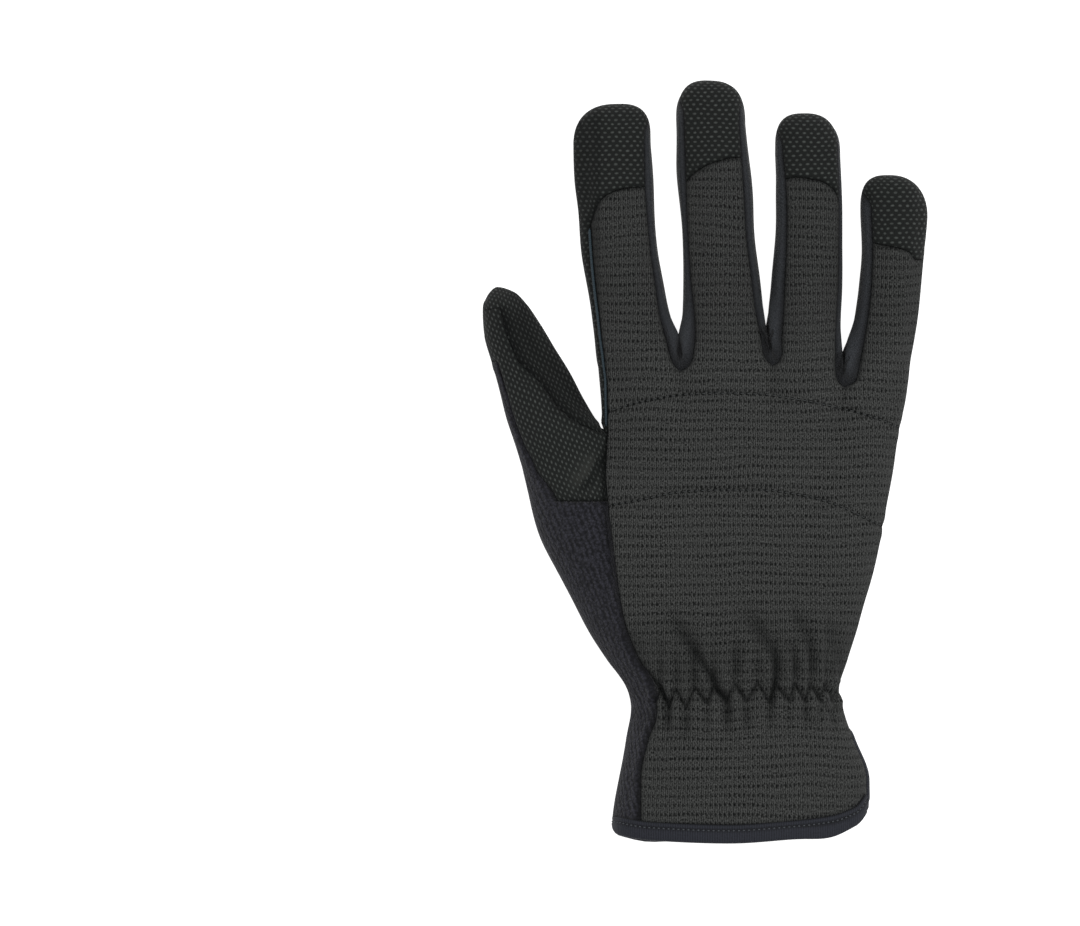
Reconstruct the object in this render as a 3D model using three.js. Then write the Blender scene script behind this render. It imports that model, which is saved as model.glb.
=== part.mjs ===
// A right-hand handling glove lying palm down: x runs from the thumb to the little finger,
// y from the cuff to the fingertips, z up from the surface it lies on. Sizes are millimetres.
// The glove is one hollow skin of cloth, cut along its seams into panels.
import * as THREE from "three";

// Driving sizes
const CLOTH = 1.4; // thickness of the fabric
const SEAM_GAP = 0.3; // clear space between two neighbouring panels
const TIP_POWER = 2.6; // how square a fingertip is from above
const SECTION_POWER = 2.2; // how square a cross-section is above its widest line
const UNDER_POWER = 2.6; // the same below it
const UNDER_SWELL = 1.12; // pushes the underside through the floor, which then flattens it
const FINGER_SIDE = 8.5; // height of the widest line of a finger
const FINGER_TOP = 17.5; // height of a finger
const TIP_POLE = 7.5; // height of the foremost point of a fingertip
const THUMB_TOP = 18; // height of the thumb at its tip and at its base
const THUMB_BASE_TOP = 20.5;
const BASE_BLEND = 26; // length over which a finger rises into the back of the hand
const VALLEY_FADE = 34; // length over which the valleys between the fingers fade
const THUMB_FADE = 75; // the same for the valley between thumb and hand
const THUMB_WEB_SAG = 8; // how far the thumb's web lies below the straight rows of the palm
const PALM_LIFT = 2.0; // height of the palm over the floor, where the patches lie
const HEM_LIFT = 0.9; // the same at the hem, which rests on its binding
const GATHER_DEPTH = 0.9; // height of the folds that the wrist elastic makes
const GATHER_HALF_WIDTH = 12; // how far these folds reach along the glove
const WRIST_Y = -74; // place of the elastic
const SLIT_HALF_WIDTH = 2.6; // half opening of the side slit at the hem
const BINDING_HEIGHT = 6.2; // tape round the hem
const BINDING_THICKNESS = 3.0;
const VENT_TAPE_WIDTH = 1.5; // tape round the side slit
const VENT_TAPE_THICKNESS = 2.4;
const SLIT_TOP_SET_BACK = 1.8; // how far the tape's turn lies below the top of the slit
const SLIT_TURN_STEPS = 6;
const PIPING_RADIUS = 0.55;
const PATCH_THICKNESS = 1.2;

// Fabric colours
const COLOURS = {
  knit: 0x343733,
  dotted: 0x232524,
  stretch: 0x1b1c20,
  terry: 0x1f1f25,
  tape: 0x1e2127,
  piping: 0x2f3a40,
};

// Fingers from above. left and right are the outline at height y along the finger,
// backLeft and backRight the seams of the back panel. The last row lies below the web.
const FINGERS = [
  {
    name: "index", tipX: -28.6, tipY: 117.5, shoulderY: 104, cap: [83, 89.5, 90.1],
    rows: [
      { y: 104, left: -42.9, right: -17.4, backLeft: -38.2, backRight: -19.4 },
      { y: 92, left: -42.5, right: -16.8, backLeft: -38.0, backRight: -19.2 },
      { y: 81, left: -41.2, right: -16.1, backLeft: -37.6, backRight: -18.4 },
      { y: 69, left: -40.0, right: -15.0, backLeft: -36.9, backRight: -17.3 },
      { y: 58, left: -38.5, right: -13.0, backLeft: -35.9, backRight: -15.7 },
      { y: 48, left: -37.0, right: -11.0, backLeft: -34.7, backRight: -14.3 },
      { y: 40, left: -35.7, right: -8.3, backLeft: -33.8, backRight: -12.6 },
      { y: 34, left: -35.0, right: -8.2, backLeft: -32.9, backRight: -11.7 },
      { y: 27, left: -34.0, right: -8.0, backLeft: -31.9, backRight: -8.0 },
    ],
  },
  {
    name: "middle", tipX: 1.8, tipY: 125, shoulderY: 110.5, cap: [92, 97.6, 99.5],
    rows: [
      { y: 110.5, left: -9.4, right: 13.3, backLeft: -7.0, backRight: 11.6 },
      { y: 98, left: -9.2, right: 14.4, backLeft: -6.6, backRight: 12.5 },
      { y: 86, left: -8.4, right: 15.6, backLeft: -6.3, backRight: 13.3 },
      { y: 74, left: -7.7, right: 16.6, backLeft: -5.8, backRight: 14.0 },
      { y: 60, left: -7.1, right: 18.0, backLeft: -4.9, backRight: 15.7 },
      { y: 49, left: -7.2, right: 19.1, backLeft: -3.7, backRight: 17.0 },
      { y: 41, left: -8.2, right: 20.1, backLeft: -3.1, backRight: 17.6 },
      { y: 34.5, left: -8.2, right: 21.0, backLeft: -4.6, backRight: 19.3 },
      { y: 29, left: -8.0, right: 21.8, backLeft: -8.0, backRight: 22.0 },
    ],
  },
  {
    name: "ring", tipX: 32.2, tipY: 114.2, shoulderY: 100.5, cap: [92.7, 92.9, 85.8],
    rows: [
      { y: 100.5, left: 22.9, right: 44.3, backLeft: 25.2, backRight: 43.4 },
      { y: 92, left: 23.3, right: 44.7, backLeft: 26.1, backRight: 43.9 },
      { y: 81, left: 23.1, right: 45.0, backLeft: 26.6, backRight: 44.0 },
      { y: 69, left: 22.5, right: 45.1, backLeft: 26.4, backRight: 43.8 },
      { y: 58, left: 21.9, right: 44.8, backLeft: 25.9, backRight: 43.7 },
      { y: 49, left: 20.9, right: 44.6, backLeft: 25.4, backRight: 43.3 },
      { y: 40, left: 20.2, right: 44.7, backLeft: 25.0, backRight: 42.6 },
      { y: 34, left: 20.9, right: 44.8, backLeft: 23.6, backRight: 42.0 },
      { y: 29, left: 21.6, right: 45.1, backLeft: 22.6, backRight: 42.7 },
      { y: 24, left: 21.9, right: 45.3, backLeft: 22.0, backRight: 45.6 },
    ],
  },
  {
    name: "little", tipX: 59.9, tipY: 94.3, shoulderY: 80.5, cap: [71.8, 70.2, 66],
    rows: [
      { y: 80.5, left: 50.8, right: 72.2, backLeft: 54.2, backRight: 69.7 },
      { y: 70, left: 51.0, right: 71.6, backLeft: 54.6, backRight: 69.1 },
      { y: 58, left: 50.3, right: 70.6, backLeft: 54.2, backRight: 68.1 },
      { y: 48, left: 48.8, right: 69.6, backLeft: 53.1, backRight: 67.1 },
      { y: 40, left: 46.5, right: 68.4, backLeft: 51.8, backRight: 65.9 },
      { y: 33, left: 45.0, right: 67.1, backLeft: 50.8, backRight: 64.8 },
      { y: 28, left: 45.1, right: 66.5, backLeft: 49.4, backRight: 64.0 },
      { y: 22, left: 45.5, right: 65.7, backLeft: 45.9, backRight: 63.2 },
    ],
  },
];

// Where neighbouring fingers meet: the back seam's lowest point, the crotch and the palm seam's
const WEBS = [
  { back: [-8.0, 30.0], crotch: [-8.3, 40.5], palm: [-8.3, 36.5] },
  { back: [22.0, 31.7], crotch: [20.1, 44.8], palm: [19.2, 40.0] },
  { back: [45.7, 24.7], crotch: [44.9, 35.9], palm: [44.4, 32.5] },
];
const INDEX_BASE = { side: [-34.5, 31], back: [-32.2, 27.5], palm: [-31.5, 34] };
const LITTLE_BASE = { side: [66.4, 27.5], back: [63.6, 26], palm: [63.6, 30] };
const THUMB_WEB = { back: [-31.8, 9.5], crotch: [-33.5, 11.4], palm: [-32.3, 7.5] };

// Thumb from above, from its tip to its web. Seams are given across it, from -1 at its outer
// side to 1 at the side of the hand: stitched is the seam of the back patch, terryBack and
// terryPalm bound the terry cloth.
const THUMB = [
  { lx: -67.7, ly: 57.4, rx: -67.7, ry: 57.4, size: 0, stitched: -0.2, terryBack: -0.9, terryPalm: -0.75 },
  { lx: -71.0, ly: 54.2, rx: -63.4, ry: 56.1, size: 0.5, stitched: -0.2, terryBack: -0.9, terryPalm: -0.75 },
  { lx: -72.2, ly: 49.8, rx: -59.4, ry: 52.5, size: 0.84, stitched: -0.2, terryBack: -0.95, terryPalm: -0.7 },
  { lx: -71.7, ly: 42.0, rx: -53.4, ry: 45.0, size: 1, stitched: -0.25, terryBack: -0.95, terryPalm: -0.6 },
  { lx: -69.4, ly: 33.0, rx: -48.5, ry: 37.2, size: 1, stitched: -0.22, terryBack: -0.86, terryPalm: -0.53 },
  { lx: -66.7, ly: 23.2, rx: -43.9, ry: 29.4, size: 1, stitched: 0.14, terryBack: -0.86, terryPalm: -0.29 },
  { lx: -64.5, ly: 15.0, rx: -40.0, ry: 21.9, size: 1, stitched: 0.31, terryBack: -0.86, terryPalm: -0.17 },
  { lx: -62.2, ly: 7.5, rx: -36.7, ry: 16.3, size: 1, stitched: 0.51, terryBack: -0.84, terryPalm: -0.08 },
  { lx: -59.9, ly: -1.6, rx: -33.5, ry: 11.4, size: 1, stitched: 0.88, terryBack: -0.72, terryPalm: -0.04 },
];

// Hand and cuff: outline, the back panel's edge on the thumb side, height and widest line
const HAND = [
  { y: 30, left: -34.3, right: 66.8, backEdge: -32.4, top: 29, side: 11.5 },
  { y: 20, left: -33.9, right: 65.3, backEdge: -31.4, top: 30.5, side: 12.5 },
  { y: 9.5, left: -61.5, right: 63.4, backEdge: -31.8, top: 31.5, side: 13 },
  { y: -1.6, left: -59.9, right: 61.8, backEdge: -32.5, top: 32, side: 13.5 },
  { y: -12.4, left: -57.2, right: 59.8, backEdge: -31.9, top: 32.5, side: 14 },
  { y: -23.5, left: -53.7, right: 57.9, backEdge: -30.7, top: 33, side: 14.5 },
  { y: -35, left: -48.5, right: 55.4, backEdge: -29.3, top: 33, side: 14.5 },
  { y: -45, left: -43.5, right: 52.7, backEdge: -27.9, top: 33, side: 15 },
  { y: -55, left: -38.0, right: 50.0, backEdge: -25.5, top: 32.5, side: 15 },
  { y: -64, left: -32.0, right: 46.8, backEdge: -21.6, top: 31.5, side: 15 },
  { y: -74, left: -25.3, right: 44.1, backEdge: -15.6, top: 30, side: 15 },
  { y: -80, left: -24.2, right: 45.2, backEdge: -15.5, top: 30.5, side: 15 },
  { y: -90, left: -25.9, right: 48.8, backEdge: -18.7, top: 32.5, side: 15.5 },
  { y: -103, left: -28.1, right: 53.4, backEdge: -21.1, top: 34, side: 16.5 },
  { y: -119, left: -30.2, right: 53.6, backEdge: -21.1, top: 35, side: 17 },
];

// Palm side: the terry cloth's inner edge, and the seam between thumb front and palm
const TERRY_EDGE = [
  { y: 9.5, x: -50.1 }, { y: -1.6, x: -45.4 }, { y: -12.4, x: -41.6 }, { y: -23.5, x: -37.6 },
  { y: -35, x: -31.9 }, { y: -45, x: -21.9 }, { y: -55, x: -11.6 }, { y: -64, x: -6.6 },
  { y: -78, x: -0.8 }, { y: -86, x: 1.4 }, { y: -119, x: 0.8 },
];
const THUMB_SEAM = [
  { y: 7.5, x: -32.3 }, { y: 3, x: -27.0 }, { y: -2, x: -25.3 }, { y: -15, x: -26.6 },
  { y: -25, x: -28.4 }, { y: -33, x: -29.6 }, { y: -45, x: -15.5 }, { y: -55, x: -4.6 },
  { y: -78, x: 8 }, { y: -119, x: 9.5 },
];

// Upper edge of the hem binding, on the back and on the palm side
const HEM_BACK = [
  { x: -30.2, y: -115.3 }, { x: -18, y: -117.5 }, { x: 8, y: -118.5 }, { x: 28, y: -117.2 },
  { x: 41, y: -115.6 }, { x: 49, y: -112.8 }, { x: 53.6, y: -109.5 },
];
const HEM_PALM = [
  { x: -30.2, y: -115.3 }, { x: -17, y: -118.0 }, { x: 0, y: -117.0 }, { x: 14, y: -114.3 },
  { x: 28, y: -111.6 }, { x: 42, y: -109.8 }, { x: 53.6, y: -109.5 },
];

// Outlines of the two patches sewn on the palm
const UPPER_PATCH = [
  { x: 46.8, y: 31.0 }, { x: 34.4, y: 32.8 }, { x: 27.9, y: 34.4 }, { x: 20.0, y: 35.7 }, { x: 14.0, y: 33.4 },
  { x: 8.3, y: 31.5 }, { x: 1.8, y: 31.8 }, { x: -4.7, y: 32.8 }, { x: -10.0, y: 32.6 }, { x: -16.9, y: 28.6 },
  { x: -19.9, y: 22.4 }, { x: -20.2, y: 17.2 }, { x: -19.5, y: 12.0 }, { x: -15.4, y: 8.7 }, { x: -6.4, y: 9.6 },
  { x: 3.4, y: 11.9 }, { x: 14.9, y: 13.2 }, { x: 27.9, y: 12.6 }, { x: 41.0, y: 10.6 }, { x: 49.0, y: 9.8 },
  { x: 53.6, y: 14.0 }, { x: 54.0, y: 22.0 }, { x: 51.5, y: 28.5 },
];
const LOWER_PATCH = [
  { x: 9.7, y: 8.6 }, { x: 21.1, y: 8.0 }, { x: 34.1, y: 7.0 }, { x: 45.6, y: 4.1 }, { x: 51.3, y: -0.8 },
  { x: 51.8, y: -7.4 }, { x: 48.0, y: -12.6 }, { x: 35.8, y: -13.2 }, { x: 25.0, y: -12.9 }, { x: 19.8, y: -15.9 },
  { x: 19.1, y: -20.2 }, { x: 20.2, y: -25.6 }, { x: 24.4, y: -30.0 }, { x: 29.0, y: -30.7 }, { x: 35.5, y: -28.9 },
  { x: 45.0, y: -23.5 }, { x: 50.0, y: -21.4 }, { x: 51.6, y: -27.0 }, { x: 49.8, y: -36.6 }, { x: 46.3, y: -41.6 },
  { x: 40.0, y: -45.5 }, { x: 24.0, y: -49.4 }, { x: 9.9, y: -45.7 }, { x: 2.4, y: -39.3 }, { x: -2.3, y: -31.0 },
  { x: -5.0, y: -23.0 }, { x: -7.5, y: -13.8 }, { x: -7.4, y: -3.8 }, { x: -5.0, y: 3.9 }, { x: 1.0, y: 7.5 },
];

// How finely the skin is meshed
const SIDE_STEPS = 2; // from a seam to the widest line
const BACK_STEPS = 6; // across the back of a finger
const PALM_STEPS = 4; // across its palm side
const THUMB_STEPS = 4; // across the back or palm side of the thumb
const OUTER_STEPS = 4; // from the terry seam on the palm side round to the outer side
const TIP_ROWS = [1, 0.9, 0.62, 0.2]; // heights of the first rows in a fingertip
const CAP_ROW = 5; // row on the seam of the rolled-over fingertip
const STRIP_ROW = 3; // row at which a gusset starts
const FINGER_SHARES = [0, 0.2, 0.4, 0.6, 0.79, 0.92, 1]; // rows from the cap seam to the base
const FINGER_ROWS = CAP_ROW + FINGER_SHARES.length - 1;
const HAND_ROWS = [
  0, 0.041, 0.082, 0.123, 0.2, 0.276, 0.338, 0.4, 0.46, 0.52, 0.575, 0.62, 0.655, 0.69, 0.725, 0.765, 0.83,
  0.85, 0.92, 1,
];
const WEB_ROW = 3; // hand row at the thumb's web
const PATCH_ROW = 5; // hand row where the thumb's back patch ends
const FRONT_ROW = 7; // hand row where the thumb front ends
const SLIT_ROW = 16; // hand row at the top of the side slit
const PATCH_TIP_ROW = 2; // thumb row where the back patch starts
const TERRY_ROW = 3; // thumb row where the terry cloth starts on the palm side

const lerp = (a, b, t) => a + (b - a) * t;
const clamp01 = (t) => Math.min(1, Math.max(0, t));
const ease = (t) => clamp01(t) ** 2 * (3 - 2 * clamp01(t));
const signedPower = (value, power) => Math.sign(value) * Math.abs(value) ** power;

// A smooth curve through the rows of a table, without overshoot
function curve(rows, key, value) {
  const sorted = [...rows].sort((a, b) => a[key] - b[key]);
  const x = sorted.map((row) => row[key]);
  const y = sorted.map((row) => row[value]);
  const slope = x.slice(1).map((right, i) => (y[i + 1] - y[i]) / (right - x[i]));
  const tangent = x.map((_, i) => {
    if (i === 0) return slope[0];
    if (i === x.length - 1) return slope[i - 1];
    if (slope[i - 1] * slope[i] <= 0) return 0;
    return (2 * slope[i - 1] * slope[i]) / (slope[i - 1] + slope[i]);
  });
  return (at) => {
    if (at <= x[0]) return y[0];
    if (at >= x[x.length - 1]) return y[y.length - 1];
    const i = x.findIndex((right) => right > at) - 1;
    const width = x[i + 1] - x[i];
    const t = (at - x[i]) / width;
    const rise = (1 - t) ** 2 * t * width * tangent[i] - t ** 2 * (1 - t) * width * tangent[i + 1];
    return y[i] * (1 - ease(t)) + y[i + 1] * ease(t) + rise;
  };
}

// The cross-section: how far across and how high a point at an angle lies, from 0 at the right
// side over 90 degrees at the top to 180 at the left; negative angles are the underside
const across = (angle) => signedPower(Math.cos(angle), 2 / SECTION_POWER);
const height = (angle) => Math.abs(Math.sin(angle)) ** (2 / SECTION_POWER);
const depth = (angle) => Math.abs(Math.sin(angle)) ** (2 / UNDER_POWER);
const degrees = THREE.MathUtils.degToRad;
const angleAt = (t) => Math.acos(signedPower(THREE.MathUtils.clamp(t, -1, 1), SECTION_POWER / 2));

const handLeft = curve(HAND.slice(2), "y", "left");
const handRight = curve(HAND, "y", "right");
const backEdge = curve(HAND, "y", "backEdge");
const handTop = curve(HAND, "y", "top");
const handSide = curve(HAND, "y", "side");
const terryEdge = curve(TERRY_EDGE, "y", "x");
const thumbSeam = curve(THUMB_SEAM, "y", "x");
const hemBack = curve(HEM_BACK, "x", "y");
const hemPalm = curve(HEM_PALM, "x", "y");

// Height of the back of the hand as one arch from left to right
function arch(x, y, left) {
  const right = handRight(y);
  const t = THREE.MathUtils.clamp((2 * x - left - right) / (right - left), -1, 1);
  const rise = (1 - Math.abs(t) ** 2.3) ** (1 / 2.3);
  return handSide(y) + (handTop(y) - handSide(y)) * rise;
}

// How far the underside is lifted from the floor: at the palm patches and over the hem's binding
function floorHeight(x, y) {
  const palm = ease((54 - y) / 14) * ease((y + 70) / 14) * ease((x + 46) / 11);
  return PALM_LIFT * palm + HEM_LIFT * ease((-100 - y) / 8);
}

// Height of the underside: rounded at its edges and flat where it rests
function underside(x, y, left) {
  const right = handRight(y);
  const t = THREE.MathUtils.clamp((2 * x - left - right) / (right - left), -1, 1);
  const drop = 1.05 * (1 - Math.abs(t) ** 3.2) ** (1 / 3.2);
  return Math.max(floorHeight(x, y), handSide(y) * (1 - drop));
}

// The skin: shared points, and four-sided faces that belong to a panel
const points = [];
const faces = [];

function addPoint(x, y, z) {
  points.push(new THREE.Vector3(x, y, Math.max(0, z)));
  return points.length - 1;
}

// Faces between the rows of a grid of points; panelOf names the panel of each face
function addFaces(grid, closed, panelOf) {
  for (let row = 0; row + 1 < grid.length; row += 1) {
    const width = grid[row].length;
    for (let column = 0; column < (closed ? width : width - 1); column += 1) {
      const next = (column + 1) % width;
      const corners = [grid[row][column], grid[row + 1][column], grid[row + 1][next], grid[row][next]];
      faces.push({ panel: panelOf(row, column), corners });
    }
  }
}

// The curved edge of a gusset at a web: from the back seam forward to the crotch and down
function webLine(web, backHeight, side) {
  const line = [];
  for (let step = 0; step <= 2 * SIDE_STEPS; step += 1) {
    const turn = (Math.abs(step - SIDE_STEPS) / SIDE_STEPS) * (Math.PI / 2);
    const end = step < SIDE_STEPS ? web.back : web.palm;
    const endHeight = step < SIDE_STEPS ? backHeight : side * 0.35;
    line.push(addPoint(
      lerp(web.crotch[0], end[0], 1 - Math.cos(turn)),
      lerp(web.crotch[1], end[1], 1 - Math.cos(turn)),
      lerp(side, endHeight, Math.sin(turn)),
    ));
  }
  return line;
}

const INDEX_LEFT = HAND[0].left;
const handHeightAtWeb = (x, y) => lerp(handSide(y), arch(x, y, INDEX_LEFT), 0.62);
const webs = WEBS.map((web) => webLine(web, handHeightAtWeb(...web.back), handSide(30)));
const indexBase = webLine(
  { back: INDEX_BASE.back, crotch: INDEX_BASE.side, palm: INDEX_BASE.palm },
  handHeightAtWeb(-28, 27.5), handSide(30),
);
const littleBase = webLine(
  { back: LITTLE_BASE.back, crotch: LITTLE_BASE.side, palm: LITTLE_BASE.palm },
  handHeightAtWeb(61, 26), handSide(28),
);

// One finger as a closed loop of columns for each row, from its tip to its base
function fingerGrid(finger, number) {
  const at = (key) => curve(finger.rows, "y", key);
  const [left, right, backLeft, backRight] = ["left", "right", "backLeft", "backRight"].map(at);
  const [leftLine, rightLine] = [number ? webs[number - 1] : indexBase, number < 3 ? webs[number] : littleBase];
  const backY = [points[leftLine[0]].y, points[rightLine[0]].y];
  const sideY = [points[leftLine[SIDE_STEPS]].y, points[rightLine[SIDE_STEPS]].y];
  const palmY = [points[leftLine[2 * SIDE_STEPS]].y, points[rightLine[2 * SIDE_STEPS]].y];
  const [capLeft, capMiddle, capRight] = finger.cap;
  const tipLength = finger.tipY - finger.shoulderY;
  const columnCount = BACK_STEPS + PALM_STEPS + 4 * SIDE_STEPS;
  const tip = addPoint(finger.tipX, finger.tipY, TIP_POLE);
  const grid = [Array(columnCount).fill(tip)];

  // Height of a column's row, when the column ends at base and crosses the cap seam at cap
  function rowY(row, cap, base) {
    if (row < TIP_ROWS.length) return finger.shoulderY + TIP_ROWS[row] * tipLength;
    const lastTip = finger.shoulderY + TIP_ROWS[TIP_ROWS.length - 1] * tipLength;
    if (row < CAP_ROW) return lerp(lastTip, cap, (row + 1 - TIP_ROWS.length) / (CAP_ROW + 1 - TIP_ROWS.length));
    return lerp(cap, base, FINGER_SHARES[row - CAP_ROW]);
  }

  // A point of the surface: blend tells how far the seams follow their table
  function surface(y, angle, seamAngle, blend) {
    const shoulder = finger.shoulderY;
    const s = clamp01((y - shoulder) / tipLength);
    const size = (1 - s ** TIP_POWER) ** (1 / TIP_POWER);
    const middle = lerp((left(y) + right(y)) / 2, finger.tipX, s ** 2);
    const half = ((right(y) - left(y)) / 2) * size;
    const base = Math.max(backY[0], backY[1]);
    const rise = ease((base + BASE_BLEND - y) / BASE_BLEND);
    const top = lerp(FINGER_TOP, arch(middle, y, INDEX_LEFT), rise);
    const side = lerp(FINGER_SIDE, handSide(y), rise);
    const seams = [Math.PI - seamAngle, seamAngle].map((seam, i) => {
      const plain = middle + half * across(seam);
      const measured = i ? backRight(y) : backLeft(y);
      return lerp(plain, measured, blend);
    });
    let x = middle + half * across(angle);
    if (angle >= 0) {
      const limit = across(seamAngle);
      const part = across(angle) / limit;
      if (Math.abs(part) <= 1) x = lerp(seams[0], seams[1], (part + 1) / 2);
      else {
        const edge = middle + Math.sign(part) * half;
        x = lerp(seams[part < 0 ? 0 : 1], edge, (Math.abs(across(angle)) - limit) / (1 - limit));
      }
    }
    const poleSide = lerp(TIP_POLE, side, size);
    if (angle >= 0) return [x, y, poleSide + (top - side) * size * height(angle)];
    return [x, y, Math.max(floorHeight(x, y), poleSide - side * UNDER_SWELL * size * depth(angle))];
  }

  for (let row = 1; row < FINGER_ROWS; row += 1) {
    const blend = clamp01((row - STRIP_ROW) / 2);
    const seam = degrees(lerp(13, 36, blend));
    const palmSeam = degrees(lerp(13, 42, blend));
    const loop = [];
    const put = (y, angle) => loop.push(addPoint(...surface(y, angle, seam, blend)));
    const side = (end, base, cap, angle, limit) => {
      const forward = Math.cos(((Math.PI / 2) * angle) / limit);
      return rowY(row, cap, lerp(base[end], sideY[end], forward));
    };
    for (let step = 0; step < SIDE_STEPS; step += 1) {
      const angle = (seam * step) / SIDE_STEPS;
      put(side(0, backY, capLeft, angle, seam), Math.PI - angle);
    }
    for (let step = 0; step <= BACK_STEPS; step += 1) {
      const part = step / BACK_STEPS;
      const cap = part < 0.5 ? lerp(capLeft, capMiddle, ease(2 * part)) : lerp(capMiddle, capRight, ease(2 * part - 1));
      put(rowY(row, cap, lerp(backY[0], backY[1], part)), lerp(Math.PI - seam, seam, part));
    }
    for (let step = 1; step <= SIDE_STEPS; step += 1) {
      const angle = seam * (1 - step / SIDE_STEPS);
      put(side(1, backY, capRight, angle, seam), angle);
    }
    for (let step = 1; step <= SIDE_STEPS; step += 1) {
      const angle = (palmSeam * step) / SIDE_STEPS;
      put(side(1, palmY, capRight, angle, palmSeam), -angle);
    }
    for (let step = 1; step <= PALM_STEPS; step += 1) {
      const part = step / PALM_STEPS;
      const cap = lerp(capRight, capLeft, part);
      put(rowY(row, cap, lerp(palmY[1], palmY[0], part)), -lerp(palmSeam, Math.PI - palmSeam, part));
    }
    for (let step = 1; step < SIDE_STEPS; step += 1) {
      const angle = palmSeam * (1 - step / SIDE_STEPS);
      put(side(0, palmY, capLeft, angle, palmSeam), -(Math.PI - angle));
    }
    grid.push(loop);
  }

  // The last row takes its ends from the webs
  const loop = [];
  for (let step = SIDE_STEPS; step > 0; step -= 1) loop.push(leftLine[step]);
  loop.push(leftLine[0]);
  const [from, to] = [points[leftLine[0]], points[rightLine[0]]];
  for (let step = 1; step < BACK_STEPS; step += 1) {
    const part = step / BACK_STEPS;
    const angle = degrees(lerp(144, 36, part));
    const spread = (across(angle) / across(degrees(36)) + 1) / 2;
    const x = lerp(from.x, to.x, spread);
    const y = lerp(from.y, to.y, part);
    const swell = (height(angle) - height(degrees(36))) / (1 - height(degrees(36)));
    loop.push(addPoint(x, y, lerp(lerp(from.z, to.z, part), arch(x, y, INDEX_LEFT), swell)));
  }
  for (let step = 0; step <= 2 * SIDE_STEPS; step += 1) loop.push(rightLine[step]);
  const [palmFrom, palmTo] = [points[rightLine[2 * SIDE_STEPS]], points[leftLine[2 * SIDE_STEPS]]];
  for (let step = 1; step < PALM_STEPS; step += 1) {
    const part = step / PALM_STEPS;
    const x = lerp(palmFrom.x, palmTo.x, part);
    const y = lerp(palmFrom.y, palmTo.y, part);
    loop.push(addPoint(x, y, underside(x, y, INDEX_LEFT)));
  }
  for (let step = 2 * SIDE_STEPS; step > SIDE_STEPS; step -= 1) loop.push(leftLine[step]);
  grid.push(loop);
  return grid;
}

// Named columns of a finger's loop
const D_LEFT = SIDE_STEPS;
const D_RIGHT = D_LEFT + BACK_STEPS;
const Q_RIGHT = D_RIGHT + 2 * SIDE_STEPS;
const Q_LEFT = Q_RIGHT + PALM_STEPS;
const GUSSETS = ["fourchette_index_middle", "fourchette_middle_ring", "fourchette_ring_little"];

function fingerPanel(number, row, column) {
  const onBack = column >= D_LEFT && column < D_RIGHT;
  const onRight = column >= D_RIGHT && column < Q_RIGHT;
  const onLeft = column < D_LEFT || column >= Q_LEFT;
  if (onBack) return row < CAP_ROW ? "palm_panel" : "back_panel";
  if (onLeft && number > 0 && row >= STRIP_ROW) return GUSSETS[number - 1];
  if (onRight && number < 3 && row >= STRIP_ROW) return GUSSETS[number];
  if (onRight && number === 3 && column < D_RIGHT + SIDE_STEPS && row >= CAP_ROW) return "back_panel";
  return "palm_panel";
}

const fingers = FINGERS.map(fingerGrid);
fingers.forEach((grid, number) => addFaces(grid, true, (row, column) => fingerPanel(number, row, column)));

// The hand's rows start as one loop round the bases of the four fingers
const base = (number) => fingers[number][FINGER_ROWS];
const BACK_COLUMNS = 4 * BACK_STEPS;
const PALM_COLUMNS = 4 * PALM_STEPS;
const startLeftTop = base(0).slice(0, D_LEFT);
const startBack = [base(0)[D_LEFT], ...[0, 1, 2, 3].flatMap((n) => base(n).slice(D_LEFT + 1, D_RIGHT + 1))];
const startRight = base(3).slice(D_RIGHT + 1, Q_RIGHT);
const startPalm = [base(3)[Q_RIGHT], ...[3, 2, 1, 0].flatMap((n) => base(n).slice(Q_RIGHT + 1, Q_LEFT + 1))];
const startLeftUnder = base(0).slice(Q_LEFT + 1);

const gather = (y) => GATHER_DEPTH * Math.exp(-(((y - WRIST_Y) / GATHER_HALF_WIDTH) ** 2) * 2.2);
const ripple = (column) => Math.cos((column * 2 * Math.PI) / 3);
const HEM_ROW = HAND_ROWS.length - 1;

// A column of the hand from a start point down to the hem. It lies between two lines, and its
// share of the width between them eases to an even one. What the start point differs from the
// plain arch fades on the way. sag draws the row at the thumb's web down, to meet the thumb.
function handColumn(start, firstRow, { from, to, share, under = false, left, fade, fold = 0, sag = 0 }) {
  const first = points[start];
  const shape = (x, y) => (under ? underside : arch)(x, y, left(y));
  const leftOver = first.z - shape(first.x, first.y);
  const startShare = (first.x - from(first.y)) / (to(first.y) - from(first.y));
  const hemX = lerp(from(-116), to(-116), share);
  const hemY = under ? hemPalm(hemX) : hemBack(hemX);
  const column = Array(firstRow).fill(null);
  column.push(start);
  for (let row = firstRow + 1; row <= HEM_ROW; row += 1) {
    const s = (HAND_ROWS[row] - HAND_ROWS[firstRow]) / (1 - HAND_ROWS[firstRow]);
    const webShare = HAND_ROWS[WEB_ROW];
    const y = lerp(first.y, hemY, s) - sag * Math.min(s / webShare, (1 - s) / (1 - webShare));
    const x = lerp(from(y), to(y), lerp(startShare, share, ease(s / 0.7)));
    const rest = leftOver * (1 - ease((first.y - y) / fade));
    const crease = under ? 0.5 * Math.abs(fold) : fold;
    column.push(addPoint(x, y, shape(x, y) + rest + gather(y) * crease));
  }
  return column;
}

// A short column straight from one point to another, for the rows above the thumb's web
function linkColumn(start, end) {
  const column = [start];
  for (let row = 1; row < WEB_ROW; row += 1) {
    const at = points[start].clone().lerp(points[end], row / WEB_ROW);
    column.push(addPoint(at.x, at.y, at.z));
  }
  return [...column, end];
}

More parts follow.
